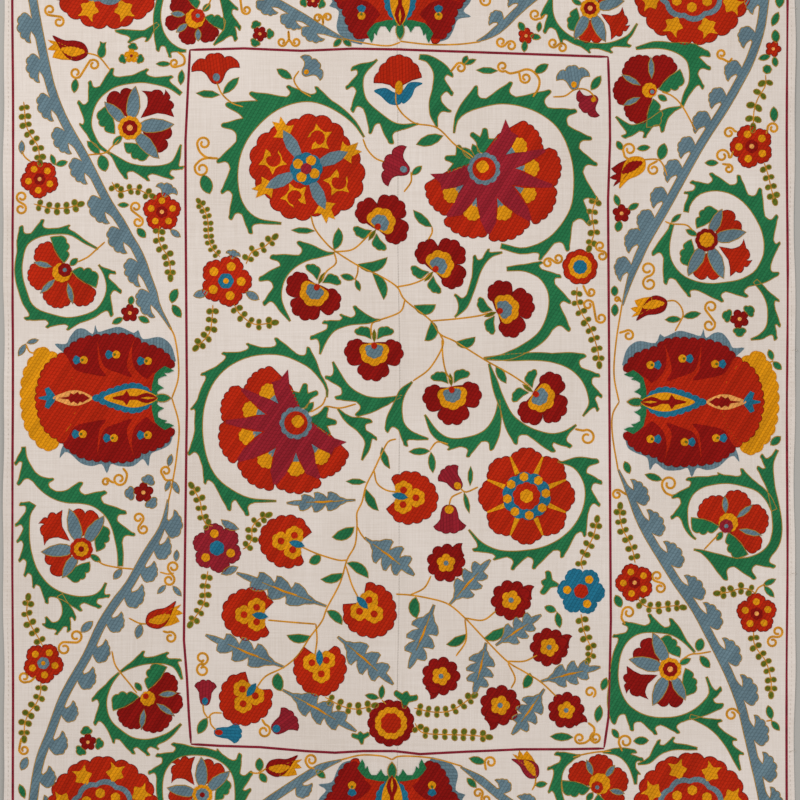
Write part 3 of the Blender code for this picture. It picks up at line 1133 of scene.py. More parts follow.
def spokeRosette(x, y, r, turn=0):
    patch(lobes(8, r, r * 0.86, bumps=4, start=0), "scarlet", x, y, 1, turn)
    for k in range(8):
        angle = turn + 45 * k + 22.5
        bx, by = placedPoint(polar(r * 0.5, angle), x, y)
        inlay(mirrored([(0, -2.6), (r * 0.4, -0.8)]), "gold", bx, by, 1, angle, level=1)
    inlay(scallopRound(10, r * 0.54), "teal", x, y, 1, turn + 8, level=2)
    for k in range(8):
        bx, by = placedPoint(polar(r * 0.41, turn + 8 + 45 * k), x, y)
        inlay(scallopRound(6, r * 0.1), "gold", bx, by, level=3)
    inlay(scallopRound(9, r * 0.31), "scarlet", x, y, 1, turn + 30, level=3)
    inlay(scallopRound(6, r * 0.15), "gold", x, y, 1, turn, level=4)


def quarterRosette(x, y, turn):
    # four scarlet petals, a thorned gold ring on each, parted by slate leaves with a gold flame behind
    for k, (middle, r) in enumerate(((70, 53), (164, 55), (248, 50), (338, 57))):
        patch(fanOutline(0, [(-47, 47, r, 5)], [(6, 0)], 0.6, 0.5), "scarlet", x, y, 1, turn + middle)
        bx, by = placedPoint(polar(r * 0.62, turn + middle), x, y)
        ring = [(13, 22), (10.5, 44), (10, 72), (16, 96), (10, 110), (9.6, 140), (15.5, 163), (9.4, 178),
                (9.2, 212), (14.5, 236), (9, 250), (8.8, 285), (10, 318)]
        ring = [polar(*spot) for spot in ring]
        inside = [polar(7.6, at) for at in range(310, 60, -30)] + [polar(6, 45), polar(4, 20), polar(8, 12)]
        inlay(ring + inside, "gold", bx, by, 1, turn + middle + (150, -60, 60, 100)[k], level=1)
    for angle in (22, 121, 205, 295):
        at = turn + angle
        bx, by = placedPoint(polar(42, at), x, y)
        flame = shape([(-6, 0), (-3, -5), (2, -12, -0.2), (5, -5.5), (16, -5, 0.1), (11, -0.5), (16, 5),
                       (5, 5.5, -0.2), (2, 12), (-3, 5)])
        inlay(flame, "gold", bx, by, 1, at, level=1)
        bx, by = placedPoint(polar(12, at), x, y)
        inlay(shape([(0, -3, 0.05), (16, -6.4, 0.18), (33, 0, 0.18), (16, 6.4, 0.05), (0, 3)]), "slate", bx,
              by, 1, at, level=1.6)
    inlay(lobes(8, 17.5, 15, bumps=1), "teal", x, y, 1, turn, level=2.4)
    for angle in (60, 150, 240, 330):
        dx, dy = polar(9.5, turn + angle)
        inlay(lobes(5, 6.2, 4.8, bumps=1), "gold", x + dx, y - dy, level=3.2)
    inlay(lobes(6, 6.8, 5.2, bumps=1), "crimson", x, y, level=4)


# The border: a slate ribbon in two waves along each side, each with the stem that joins its waves.
ribbon([(22, -118), (25, -60), (33, 0), (45, 62), (52.5, 92), (64.5, 121.5), (84.5, 157), (107, 201),
    (120.6, 222), (129.2, 237.8), (137, 250.7), (143.3, 265), (147.7, 279), (153.3, 292), (157.7, 306.4),
    (164, 317), (171, 329)],
    [(12, -78), (15, -40), (25, 28), (34, 69), (47, 106), (60.6, 141.6), (76.5, 172), (98, 208), (117, 240),
    (133, 271), (148.5, 301)])
stem((170, 327), (175, 338), (178.5, 362), (178, 380), (172, 398))
ribbon([(24, 918), (27, 860), (33.5, 799), (38.3, 768), (43.5, 750), (50, 734.5), (61, 704), (69.5, 686),
    (86, 658), (93, 643), (100.5, 626.5), (108.5, 613), (118.5, 598.5), (130, 584), (144.5, 558),
    (159, 534.5), (165, 518), (168, 500)],
    [(30, 878), (34, 842), (40, 808), (48, 778), (60, 745), (73, 714), (90, 682), (103, 653), (120, 625),
    (136, 599), (151, 574), (163, 550), (171, 524)], drawing=curledLobe)
stem((168, 503), (173, 480), (177, 454), (179, 425), (172, 398))
ribbon([(776, -118), (772, -60), (764.5, 0), (760, 30), (750, 60), (740, 80), (724, 108), (703.3, 139.8),
    (686.6, 169), (669.8, 199.6), (662, 213.4), (645.3, 242.5), (636, 263), (631.3, 275.4), (627.5, 287),
    (622.5, 305)],
    [(768, -80), (762, -38), (752, 2), (743, 35), (730, 68), (717, 97), (703, 123), (689, 148), (674, 172),
    (660, 196), (645, 219), (636, 241), (621, 267)], drawing=curledLobe)
stem((622, 304), (616, 342), (614, 375), (619, 402))
ribbon([(778, 918), (772, 860), (762.5, 798), (755.5, 766), (748.5, 736), (741, 705.5), (728.5, 673),
    (709.5, 635), (695, 608), (678, 583.6), (661, 556.5), (644.6, 528.5), (629.5, 494.5), (618.5, 470)],
    [(784, 878), (780, 838), (775, 802), (770, 767), (762, 730), (752, 689), (735, 651), (716, 615),
    (698, 583), (678, 551), (658, 521), (641, 492)])
stem((618, 470), (612.5, 436), (612.5, 415), (619, 402))
ribbon([(158, -104), (190, -66), (232, -32), (262, -6), (281, 5), (300, 16), (321, 29), (345, 40)],
    [(180, -76), (212, -44), (242, -18), (266, 8), (289, 23), (313.5, 34)], 8, 0.8)
stem((343, 39), (372, 44.6), (389, 46), (400, 42.7))
ribbon([(640, -104), (606, -66), (568, -30), (542, -9), (527, 3), (516, 12.7), (504.6, 24), (496, 31),
    (487, 37), (477, 41.5)],
    [(620, -82), (598, -58), (573, -34), (547, -12), (524, 6), (501, 25)], 8, 0.85, drawing=curledLobe)
stem((480, 42), (457, 44.5), (429, 44.6), (400, 41.5))
ribbon([(160, 904), (192, 866), (234, 832), (262, 806), (285, 790), (308, 775), (324, 766), (341, 760)],
    [(182, 888), (214, 852), (244, 828), (273, 807), (303, 787)], 8, 0.85, drawing=curledLobe)
stem((340, 760), (361, 755), (382, 756), (392, 759.5))
ribbon([(640, 904), (606, 866), (568, 836), (536, 818), (518, 808), (499, 795), (481, 780), (461, 767)],
    [(618, 876), (590, 846), (556, 824), (525, 804), (502, 786)], 8, 0.85, drawing=curledLobe)
stem((462, 766), (432, 758), (401, 756), (392, 759.5))

# Each scroll: its thorned stem, then the flower that it holds.
vine([(181, 94), (170, 86), (155, 81), (138, 79), (112, 84), (94, 100), (88, 124), (96, 143), (110, 154)],
    [(173, 76.5), (113.5, 68), (147.5, 69), (89, 82), (78, 102), (80, 126)], 9, -1, (4, 1.5))
vine([(108, 152), (128, 166), (153, 170), (174, 164), (181, 145)],
    [(126, 179), (149, 181), (173, 179), (184, 167)], 8)
scrollFlower(130, 128, 44, 45)
stem((120, 139), (112, 147), (105, 153), (88, 155))
leaves("green", (100, 154, 18, 8, 135), (101, 155, 17, 11, -75))
vine([(98, 249), (85, 242), (70, 232.5), (52, 231.5), (36, 235), (24, 244), (19, 262), (19, 277), (23, 292),
    (28, 305), (37, 313), (52, 318), (68, 321), (85, 318), (99, 311), (107, 298), (108.5, 286), (105, 274),
    (99, 265)],
    [(69, 225), (43, 219.5), (22, 225.5), (17.5, 239.5), (25, 319), (48, 328), (69, 330), (113, 315),
    (121.5, 292), (116, 273.5)], 8, -1)
halfFlower(65, 270,
    [(117, 163, 35, 4), (169, 218, 37, 5), (229, 279, 38, 5), (287, 327, 41, 4)], "scarlet", "darkRed")
stem((105, 242), (96, 250), (88, 257), (78, 262))
vine([(24, 447), (25, 458), (31, 471), (40, 484), (53, 494), (67, 498.5), (82, 499), (96, 503), (108, 513),
    (115, 526), (118.5, 540), (120.5, 553), (120.5, 566)],
    [(15.5, 464.5), (18, 484.5), (53, 478), (80, 482), (106, 491.5), (125.7, 511), (135, 534)], 9, 1, (4, 5))
vine([(34, 504), (28, 514), (26.5, 530), (27, 545), (30, 560), (35, 573), (44, 585), (55, 593), (69, 598),
    (83, 599.5), (95, 597), (102, 591), (106, 583)],
    [(20, 504), (15.5, 524), (17, 542), (19, 561), (24, 575), (34, 588.5), (47, 603.5), (81, 611),
    (99.6, 608), (108.6, 597.5)], 8, 1, (5, 2))
scrollFlower(81.5, 549, 42, 147, "scarlet", ring=("scarlet", "gold", "darkRed"))
stem((97, 560), (104, 564.5), (118, 567.5), (134, 569))
leaf(122, 569, 13, 7, -130, thread="slate")
vine([(60, 595), (65, 605), (65.5, 616), (60, 624), (51, 625), (46, 617)],
    [(76, 618), (70, 630.5), (57, 634.5), (43, 625)], 8, 1, (6, 2))
vine([(121, 671.5), (131, 665.5), (143, 661.5), (156, 660), (168, 661.5), (177, 667), (182, 679)],
    [(143.5, 651), (167, 652), (181, 659.5)], 7, 1, (2, 2))
vine([(119, 673), (110, 683), (104, 696), (103.5, 710), (108, 723), (118, 733), (131, 741), (145, 743),
    (158, 740.5), (170, 734.5), (181, 724)],
    [(92, 699.5), (94, 723.5), (113, 742.5), (134.5, 754), (148.5, 755.5), (159.5, 749)], 9, 1, (2, 2))
halfFlower(146, 696,
    [(-153, -100, 36, 5), (-96, -37, 37, 5), (-32, 3, 37, 3), (8, 51, 34, 4)], "darkRed", "scarlet", 8.5, 3.4,
    0.95, None)
stem((112, 651), (115, 664), (121, 673), (130, 684), (137, 693))
vine([(158, 24), (150, 30), (141, 34), (115, 31)], [(129, 43), (144.5, 42)], 7, 1, (4, 1.5), level=-0.4)
vine([(164, -14), (157.5, 12), (159, 30), (168, 44), (178, 50), (186, 51)],
    [(157, 50.5), (169, 57)], 8, 1, (4, 2.5))
vine([(219, -14), (225, 4), (228, 18), (227, 31), (214, 45)],
    [(238, 9), (240.5, 30), (235.5, 41.5)], 9, 1, (4, 1.5))
halfFlower(198, 16,
    [(-238, -190, 30, 3), (-180, -150, 33, 3), (-136, -96, 30, 4), (-83, -34, 28, 3)], waist=0.62,
    leafSize=0.78)
stem((204, 10), (209, 4), (212, -4))
vine([(552, -14), (551, 14), (561, 32), (579, 43), (605, 46), (627, 38), (637, 24)],
    [(541, 17), (544, 33), (562, 44), (589, 53), (612, 53), (630, 47)], 6)
scrollFlower(590, 8.5, 36.5, -25, "scarlet")
vine([(636, 48.5), (656, 45), (675, 48), (689, 57), (693, 70), (692, 84), (686, 95), (682, 106)],
    [(698, 46), (709, 52), (710.5, 69), (703.5, 88)], 9, 1, (2.5, 3))
vine([(681, 107), (664, 113), (648, 124), (630, 128), (616, 117)], [(664, 131), (644, 138), (624, 138)], 8)
halfFlower(652, 92,
    [(42, 90, 38, 4), (94, 149, 39, 5), (152, 203, 38, 5), (207, 258, 35, 5)], gold=8.5, heartSize=4)
stem((662, 92), (672, 96), (682, 106), (696, 131))
vine([(686, 212), (688, 203), (696, 193), (708, 188), (722, 187.5), (737, 192.5), (750, 203), (760, 217),
    (766.5, 231), (769, 246), (767, 260), (758, 275), (742, 284), (725, 287), (710, 288), (695, 285.5),
    (681, 279), (671, 268), (666.5, 255), (667.5, 240), (672, 224)],
    [(684, 193), (691, 181.5), (712, 173), (738, 175), (761.5, 189.5), (777, 215), (780, 244), (779, 273.5),
    (747, 297), (722, 302), (690, 297), (664, 283), (652, 255)], 10.5, -1, (5, 4))
vine([(755, 281), (764, 291), (770, 303), (771.5, 316), (769, 328), (762, 336), (751, 339.5)],
    [(779, 300.5), (780.5, 324.5), (776, 339.5)], 8, 1, (5, 1.5))
scrollFlower(706.5, 240, 42, -26, "scarlet", ring=("darkRed", "gold", "gold"))
stem((665, 221.5), (672, 224), (686, 225), (693, 231))
leaf(671, 222.5, 13, 5, 40)
vine([(777, 450), (771, 462), (770, 475), (771, 488), (774, 502), (776.5, 517), (777, 532), (773, 546),
    (763, 556), (748, 561.5), (732, 561.5), (716, 556.5), (702, 551.5), (694, 549.5)],
    [(760.5, 456), (757, 467.5), (775.5, 566.5), (753, 579.5), (725, 580)], 10, -1, (3, 1.5))
vine([(774, 510), (768, 498), (758, 488), (745, 483), (730, 479.5), (714, 480), (700, 484), (690, 492),
    (685, 503), (684, 514), (686, 526), (691, 535), (695.5, 539)],
    [(743, 469), (717, 473), (687.5, 478), (672, 496), (671, 519)], 9, 1, (6, 1.5))
halfFlower(726, 526,
    [(-49, -17, 40, 3), (-12, 36, 42, 5), (41, 89, 37, 4), (96, 163, 33, 5)], "scarlet", "crimson")
stem((718, 535), (712, 541), (704, 549.5))
vine([(694.5, 652), (684.5, 641), (672, 632.5), (657, 629.5), (642, 629.5), (629, 635), (620, 646),
    (615.5, 660), (614, 675), (616, 690), (623.5, 705), (636, 715), (650, 720), (665, 721), (680, 719),
    (694, 713), (705, 703), (711, 692), (706.5, 677)],
    [(671, 618.5), (649, 614), (624, 622), (613.5, 635), (613, 723.5), (632.5, 731), (655.5, 734.5),
    (679.5, 733), (721.5, 689), (723, 706)], 8.5, 1, (2, 2))
scrollFlower(670, 669, 42, -153)
stem((680, 661), (690, 654.5), (699, 653.5), (711, 651.5))
leaves("green", (698, 651, 13, 9, 75), (700, 656, 15, 8, -50))
vine([(690, 716), (705, 722), (718, 731), (727, 742), (734, 755), (740, 770)],
    [(721.5, 720), (736, 738.5), (743, 752.5)], 8, 1, (4, 2))
vine([(167, 820), (161, 802), (159.5, 786), (162, 771), (170, 759), (182, 752.5), (196, 751), (209, 752.5),
    (221, 757.5), (231, 766), (236.5, 777), (238, 790), (237, 804), (230, 822)],
    [(148.5, 772), (157, 754), (173, 743), (216, 749.5), (241, 754), (252, 771), (251, 790.5)], 8, -1, (4, 4))
scrollFlower(202.5, 794.5, 37.5, 132, "scarlet", ring=("gold", "slate", "darkRed"))
stem((611, 751), (596, 752), (582, 754.5), (573, 757))
vine([(580, 755), (572, 757.5), (563, 764), (558, 774), (557, 786), (560, 799), (567, 814)],
    [(555, 753), (548, 767), (548, 791)])
vine([(603, 752), (615, 752), (625, 757), (631, 765), (634.5, 775), (635.5, 784)],
    [(634.5, 749.5), (643, 759), (640, 773)], 7, 1, (1.5, 2.5))
vine([(638, 764), (648, 761), (657, 753), (665, 748.5), (677, 746.5), (697, 748.5)],
    [(657.5, 740.5), (673.5, 737)], 7, 1, (1.5, 2.5))
halfFlower(597, 787,
    [(-60, -17, 31, 4), (-9, 46, 31, 4), (56, 107, 32, 4), (115, 166, 32, 4)], "scarlet", gold=12,
    heartSize=7)

# The corner rosettes, then the small flowers, buds, tendrils, garlands and leaves of the border.
for x, y, r, turn in ((107, -32, 60, 22), (692, -14, 58, 20), (103, 813.5, 56, 28), (691, 811, 57, 18)):
    rosette(x, y, r, turn)
for row in table("x y r turn", (39.8, 179.2, 18.5, 119), (162, 212, 18.5, 90), (751.5, 146.5, 21, 38),
                 (634.5, 582.5, 18.5, 110), (756.5, 613.5, 19.5, 92)):
    roundFlower(**row)
roundFlower(43.5, 663, 19.5, 60, heart="slate", eye="gold")
bud(88, 52, 34, 180, 1)
stem((87, 53), (99, 57), (110, 70))
tearBud(101, 58, 18, 82)
bud(645, 161, 33, -158, -1, "gold", "darkRed", "darkRed")
stem((641, 160), (657, 159.5), (663, 165), (667, 176))
bud(667, 303, 31, -175, -1)
stem((667, 301), (675, 301), (681, 307), (683, 315), (680, 322), (675, 331))
bud(146, 622, 32, 10, -1, "scarlet", "gold")
stem((129, 618), (139, 623), (147, 624))
bud(266, 768, 30, -3, -1)
stem((250, 772), (258, 773), (267, 768))
leaves("green", (259.5, 771, 13, 8, 90), (260, 773, 11, 7, -55), (535, 785, 12, 6, 8),
    (316, 770, 12, 6.5, -40), (469, 758, 17, 7.5, -15), (467, 778, 13, 6.5, -45))
bud(536, 777.5, 27, 118, -1, "crimson")
stem((536, 775), (535, 784), (532, 790))
curl(311.5, 760, 6, 200, -1, [(314.5, 768.5), (309, 767)])
curl(490.5, 762, 6, 200, -1, [(486, 770)])
posy(526, 36, 8, 80, ())
leaves("green", (524, 31, 10, 6.5, 120), (530, 36, 11, 6, -10), (525, 41, 11, 6, -95))
posy(130, 313, 9, 90, (), "darkRed")
leaves("green", (130.5, 305, 9, 6, 80), (123, 318, 12, 6, 208), (138.5, 317, 12, 6.5, -25))
posy(621.5, 213.5, 9, 90, (), "darkRed")
leaves("green", (619, 206, 12, 6, 110), (628, 209.5, 12, 6, 28), (620, 221, 11, 7.5, -105))
posy(739.5, 319, 9.5, 40, (165, 40, -90), "darkRed")
posy(88, 742, 8.5, 90, (98, -8, 230), "darkRed")
posy(260, 34, 7.5, 60, (114, 0, -119), thread="darkRed")
posy(313, 1, 7, 80, (190, -20, 90), thread="darkRed")
posy(131.5, 56, 7, 90, (80, 200, -20), thread="gold", heart="crimson")
posy(143.5, 492.5, 10, 90, (68, 183, -52), "darkRed", "slate")
for row in table(
    "ax ay bx by r hand",
    (50, 10, 59, 22, 4.4, -1),
    (94, 65, 76, 73, 4.6, -1),
    (22, 197, 21, 209, 4.6, -1),
    (136, 207, 138, 222, 4.4, -1),
    (501, 42, 511, 46, 4.2, -1),
    (553, 43, 562, 48, 4, -1),
    (647.5, 269, 649.5, 283.5, 6, 1),
    (711, 307, 709, 325, 5.2, -1),
    (657, 576, 660, 588, 4.4, -1),
    (777.5, 631.5, 772.5, 642, 4.6, 1),
    (138.5, 518, 143.5, 529, 4.4, 1),
    (173.5, 567, 169, 580, 4.8, -1),
    (76, 636, 64.5, 648.5, 5.4, 1),
    (478, 793, 486, 799, 4, 1),
):
    curls(**row)
curl(535, 14.5, 5.6, -50, -1, [(545, 14.5), (541, 18.5)])
curl(486, 0.5, 6, 150, 1, [(496, -9), (489, -10), (482, -5)])
curl(174.5, 63, 4.4, -60, -1, [(178, 52), (184, 57), (184, 64)])
curl(729, 133, 5.6, 20, 1, [(737, 132)])
curl(773, 128.5, 5.8, 190, -1, [(766, 134)])
curl(722, 156, 7, -10, 1, [(733, 151), (731, 157)])
curl(728.5, 169, 4.6, 110, -1, [(722, 164)])
curl(653.5, 169.5, 6, 100, 1, [(657.5, 161)])
curl(629.5, 149.5, 6.8, 215, -1, [(630, 160), (625, 157)])
curl(617, 299.5, 2.6, 0, 1, [(621, 302)])
curl(628.5, 335.5, 5.6, 130, -1, [(619, 333)])
curl(669.5, 484, 8, 215, -1, [(673, 496), (666, 493)])
curl(617, 494.5, 5, 50, 1, [(627, 495)])
curl(628.5, 612.5, 6.5, 190, -1, [(625, 624), (621.5, 618)])
curl(119.5, 479, 6.6, -20, -1, [(123, 468), (127, 474)])
curl(106, 482, 4, 20, 1, [(114, 483)])
curl(166, 471, 5.2, 230, -1, [(173, 480), (166, 480)])
curl(170.5, 637.5, 6, 120, -1, [(163, 631)])
curl(24.5, 677, 5.6, -60, -1, [(36, 676), (31, 681)])
curl(24.5, 749.5, 5, 170, 1, [(21.5, 738)])
curl(731.5, 714.5, 6.4, 30, 1, [(740, 714)])
curl(625.5, 741.5, 7.2, 220, -1, [(622, 751)])
curl(721.5, 54, 5, -80, -1, [(732, 58), (729, 62)])
posy(773, 49, 8, 70, ())
dot(767, 69.5, 4.6, "green", 0, True)
curl(246.5, 10, 4.6, 190, 1, [(240, -4), (241, 4)])
fork(289, 39, -90, 7, 4.6, [(288.5, 31)])
fork(323, 21, 95, 5, 4.2, [(323, 25)])
for run in (
    ((24, 102), (25, 112), (26, 124), (31, 136), (38, 146), (40, 160)),
    ((34, 204), (50, 208), (66, 208), (78, 205)),
    ((112, 182), (119, 192), (135, 189), (150, 195)),
    ((160, 226), (158.5, 236), (161, 246), (167, 255), (170, 265), (170.5, 275)),
    ((43, 646), (38, 637), (31, 625), (27, 613), (28, 600)),
    ((41, 682), (40.5, 693), (36, 704), (29, 713), (25, 724), (24.5, 736)),
    ((764, 163), (768, 175), (771, 188), (774, 199)),
    ((597, 196), (592, 214), (594, 232), (590, 246)),
    ((577, 287), (577, 302), (582, 314), (589, 326), (594, 338), (598, 352), (599, 362)),
    ((635, 563), (633, 552), (629, 541), (623, 530), (620, 518), (620, 509)),
    ((638, 598), (642, 604), (652, 608), (664, 607), (676, 605.5), (680, 607)),
    ((755, 593), (748, 589), (738, 589), (729, 592), (720, 593)),
    ((753.5, 632), (754, 643), (759, 652), (765, 660), (769, 671), (771, 682), (771, 692)),
):
    garland(*run)
garland((765.5, 75), (765, 86), (758, 98), (754, 110), (753, 124), gap=12, long=4, wide=2.9)
leaves("green", (770, 56, 12, 6, 195), (774, 57, 10, 6, -80), (776, 43, 13, 8, 95), (772, 26, 15, 7, 65),
    (779, 8, 16, 9, 85), (774, 122, 15, 8, 92))
leaves("green", (55, 165, 11, 5, 110), (56, 165, 12, 6, 15), (76, 79, 14, 7, -97), (171, 64, 15, 5, 180),
    (182, 70, 15, 6.5, -95), (129, 205, 11, 5, 180), (137.5, 228.5, 12, 7.5, -48),
    (172, 303, 15, 8.5, 68, 0.15), (172.5, 305, 15, 8, -55), (341.5, 39, 11, 6, -135), (343, 39, 11, 6, -42),
    (540, 22, 10, 5, -100), (718, 163, 13, 6, 180), (622, 150, 10, 6, 120), (637, 149, 13, 6, 8),
    (660, 160, 17, 10, 75), (614.5, 296, 10, 7, 90), (615, 304, 12, 7, -92), (681, 319, 16, 6.5, 183),
    (683, 317, 18, 7, 12), (772.5, 360, 11, 6, 110), (773, 362, 11, 6.5, -42), (770.5, 445, 13, 7.5, 40),
    (629.5, 473.5, 13, 7, 112), (662, 480, 18, 7, 162), (621, 607, 13, 8, 115), (763, 585, 14, 5.5, 25),
    (764, 586, 15, 6, -48), (618.5, 738, 11, 6, 125), (633.5, 741, 15, 8, 3), (771.5, 719, 14, 7, 105),
    (771.5, 721, 12, 6, -50), (25, 798, 15, 6.5, 110))
stem((766, 721), (772, 720))
stem((768, 363), (773, 361))
stem((755, 594), (758, 588), (765, 584))
leaves("slate", (22, 154, 13, 6, 90), (27, 343, 12, 5, 15), (26, 344, 14, 6, -122), (170.5, 230, 12, 6, -35),
    (27.5, 757, 14, 8, -115), (168.5, 466, 12, 5.5, 75), (170, 480, 12, 5, -112), (173, 481, 14, 6, -65),
    (176, 561, 11, 5.5, 85), (166, 585, 12, 5, 225), (173, 586, 13, 5.5, -50), (141, 624, 15, 8, -105),
    (81, 632, 16, 8, 42))
stem((26, 344), (30, 352), (37, 353))
stem((160, 572), (168, 574), (174, 573))
tulip(164, 197, 14, 68, "slate", None)
stem((22, 151), (25, 157), (31, 162))

# The lines that frame the border and the field, couched in madder.
frameLine = 3.0
for run in (
    [(12.8, -128), (12.4, 0), (13.4, 120), (12.6, 260), (13.2, 400), (12.4, 560), (13.2, 700), (12.8, 928)],
    [(786.6, -128), (787.4, 0), (786.6, 130), (787.6, 280), (786.8, 420), (787.4, 560), (786.4, 700),
     (787, 928)],
    [(12.8, -128), (200, -127), (400, -128.2), (600, -127), (786.6, -128)],
    [(12.8, 928), (200, 927), (400, 928.2), (600, 927), (787, 928)],
):
    line(curve(run), "madder", frameLine)
for run in (
    [(190, 50), (188, 89), (185.6, 140), (185.6, 199), (187, 400), (184, 640), (187, 678), (189, 716),
     (191, 743)],
    [(190, 50), (244, 48.5), (302, 51), (353, 49), (400, 49.7), (476, 52.3), (608, 57)],
    [(608, 57), (609.6, 102), (610, 140), (608, 200), (610.8, 620), (609.6, 677), (608.5, 717), (604, 747.4)],
    [(191, 744), (220, 745.7), (260, 747), (306, 751), (335, 752.6), (363, 751), (395, 751), (420, 754),
     (466, 751.5), (520, 749), (569, 749), (604, 748.4)],
):
    line(run, "madder", frameLine)

# The lotus head at the middle of each side.
palmette(173, 398, 180, flip=-1)
palmette(625, 402, 0, 1.01)
palmette(400, 42, 90, 1.03, 1.04, corner=(7, 34))
palmette(392, 760, -90, 1.0, 1.08, corner=(3, 31))

# The field: flowers inside scrolls above, and carnations and star flowers on branches below.
vine([(364, 137), (352, 120), (330, 104), (305, 98), (276, 106), (252, 126), (238, 150), (234, 178),
    (240, 205), (256, 220), (281, 223.5)],
    [(317, 87), (287, 86), (251, 92), (226, 104), (221, 126), (217, 161), (221, 191.5), (230.5, 220),
    (251, 234)], 9, 1, (1.5, 2))
quarterRosette(306.3, 168.9, 0)
fanRosette(484, 169, -54)
vine([(454, 133), (457, 119), (471, 108), (502, 100), (536, 107), (562, 126), (576, 157), (578, 190),
    (572, 215), (552, 240), (525, 251), (501, 246)],
    [(476, 86), (510, 82), (549, 90), (575, 109), (591, 137), (597, 164), (598, 199), (590, 226),
    (569, 250), (540, 260)], 10, 1, (1.5, 5))
for outline in (
    [(400, 95), (404, 90), (410, 83), (422, 83.5), (415, 88), (411, 97), (403, 103.5)],
    [(401, 96), (393, 92.5), (385, 88.5), (374.5, 91), (381, 96), (390, 104), (400, 104)],
):
    patch([(u, -v) for u, v in curve(outline, closed=True)], "teal")
patch(bellShape, "scarlet", 398, 90, 1, 90, rows=90, level=0.6)
inlay(oval(7, 4), "gold", 399, 88, 1, 90, level=1.6)
vine([(377, 60), (361, 76), (363, 101), (381, 118), (398, 127), (418, 124)],
    [(351, 70), (346, 89), (352, 112), (370, 134), (391, 144)], 8)
vine([(419.5, 57), (430, 60), (438, 72), (438, 88), (434, 102), (434, 115), (437, 127)],
    [(453, 75), (453, 94), (451, 111)], 11, 1, (5, 1.5))
stem((396, 88), (396, 102), (400, 111), (408, 119), (417, 124), (437, 128), (455, 145), (470, 155),
    (476, 162))
stem((363, 139), (367, 149), (375, 158), (384, 162))
leaves("green", (443, 136, 28, 11, 198), (412, 175, 13, 6, 42), (462, 148, 17, 8, -42))
stem((411, 172), (411, 182), (404, 192))
tulip(409, 172, 27, 155, "crimson", "slate")
tulip(217, 84, 30, 95)
stem((217, 83), (222, 94), (232, 103), (243, 107))
leaves("green", (223, 94, 23, 8, 46), (220, 95, 24, 7.5, 176))
tulip(303, 75, 20, 40, "slate", "gold", 0.95)
stem((299, 71), (294, 80), (300, 90), (311, 97))
leaf(292, 79, 18, 8, 147)
curl(204, 143.5, 6.8, 195, -1, [(218, 158.5), (207, 157.5), (200, 152)])
curl(202, 169, 7.4, 150, 1, [(212, 157.5), (202, 159.5)])
leaf(203, 175, 20, 12, -70)
curl(460.5, 68, 5.6, 160, -1, [(450.5, 72)])
leaves("green", (463, 64, 9, 5.5, 62), (464, 64.5, 13, 5, 22), (498, 71, 22, 6.5, 178),
    (534.5, 73, 16, 8, 32), (591, 90, 17, 8, 55))
curl(502.5, 66.5, 5.4, -60, -1,
    [(533, 97), (538.5, 88), (539, 79), (533, 71.5), (526, 69.5), (518, 72), (510, 73.5)])
curl(525.5, 78, 5.4, 200, 1, [(519, 72)])
tulip(574.5, 90, 24, 97, "slate", "gold", 0.87)
stem((553, 97), (565, 96), (574, 90), (583, 89), (590, 92), (595, 98))
tulip(597, 97, 20, 218, "crimson", "gold")
for row in table(
    "x y turn",
    (378.6, 225.5, 56), (436.5, 268, 48), (501, 310.5, 20), (316.2, 288.6, -117), (374.2, 347.2, -90),
    (451.9, 391.2, -84), (537, 395, -36),
):
    gardenFlower(**row)
stem((311, 215), (313, 224), (317, 232), (326, 243), (335, 251), (357, 265), (380, 276), (397, 287),
    (405, 300), (430, 320), (440, 334), (456, 342), (485, 360), (510, 374), (529, 386.5))
stem((334, 252), (352, 249.7), (364, 240), (371, 232))
stem((334, 252), (336, 263), (327, 271), (322, 279))
stem((397, 287), (412, 284), (424, 279), (431, 273))
stem((405, 300), (400, 312), (380, 320), (372, 324), (371, 336))
stem((431, 321), (455, 319), (478, 316), (488, 313))
stem((440, 334), (443, 345), (430, 368), (413, 381))
stem((442, 340), (443, 358), (446, 372), (451, 380))
stem((358, 265), (357.6, 273), (355, 280))
stem((432, 227), (432, 233), (428, 240))
leaves("green", (315, 231, 24, 6, 178), (334, 249.7, 22, 9.5, 78, -0.15), (358, 264.3, 30, 10, 13, -0.4),
    (372.7, 273.9, 28, 9, -67, 0.3), (414.5, 305.4, 21, 10, 2, -0.45), (431.4, 321.6, 20, 10, -109, 0.45),
    (455.6, 342, 20, 9, 14, -0.4), (432, 227, 25, 8.5, 138, 0.1), (354.3, 279, 14, 6.5, 165),
    (355.8, 279.7, 12, 5, -70), (496, 366, 20, 8, -60))
vine([(334, 253), (307, 257), (288, 268), (279, 284), (279, 303), (290, 321)],
    [(297, 242), (272, 255), (259, 279), (263, 303)])
vine([(380, 320), (365, 321), (348, 322), (333, 328), (324, 340), (320, 354)],
    [(356, 306), (342, 314), (323, 322), (311, 336)], 7.5)
vine([(455, 317), (465, 306), (471, 291), (477, 273), (484, 261), (491, 255), (502, 252.5)],
    [(454.5, 295), (473.5, 256.5), (487, 250)], 6.5)
vine([(507, 269), (525, 268), (541, 274), (551, 287), (554, 302), (551, 320), (541, 337), (522, 350),
    (504, 357), (484, 359)],
    [(542, 262), (560, 275), (570.5, 303), (570.5, 329)], 11, 1, (4, 1.5))
vine([(484, 358), (510, 357.5), (535, 356.5), (555, 358.5), (571, 365), (583, 376), (590, 390), (591, 404),
    (583, 416)],
    [(584, 354), (600, 376), (602, 397), (598, 411)], level=-0.4)
vine([(489, 364), (494, 380), (499, 396), (510, 418), (528, 431), (550, 437), (564, 434), (576, 425)],
    [(515, 444), (551, 452), (569, 448)])
curl(587, 437.5, 8, 120, -1, [(575, 429)])
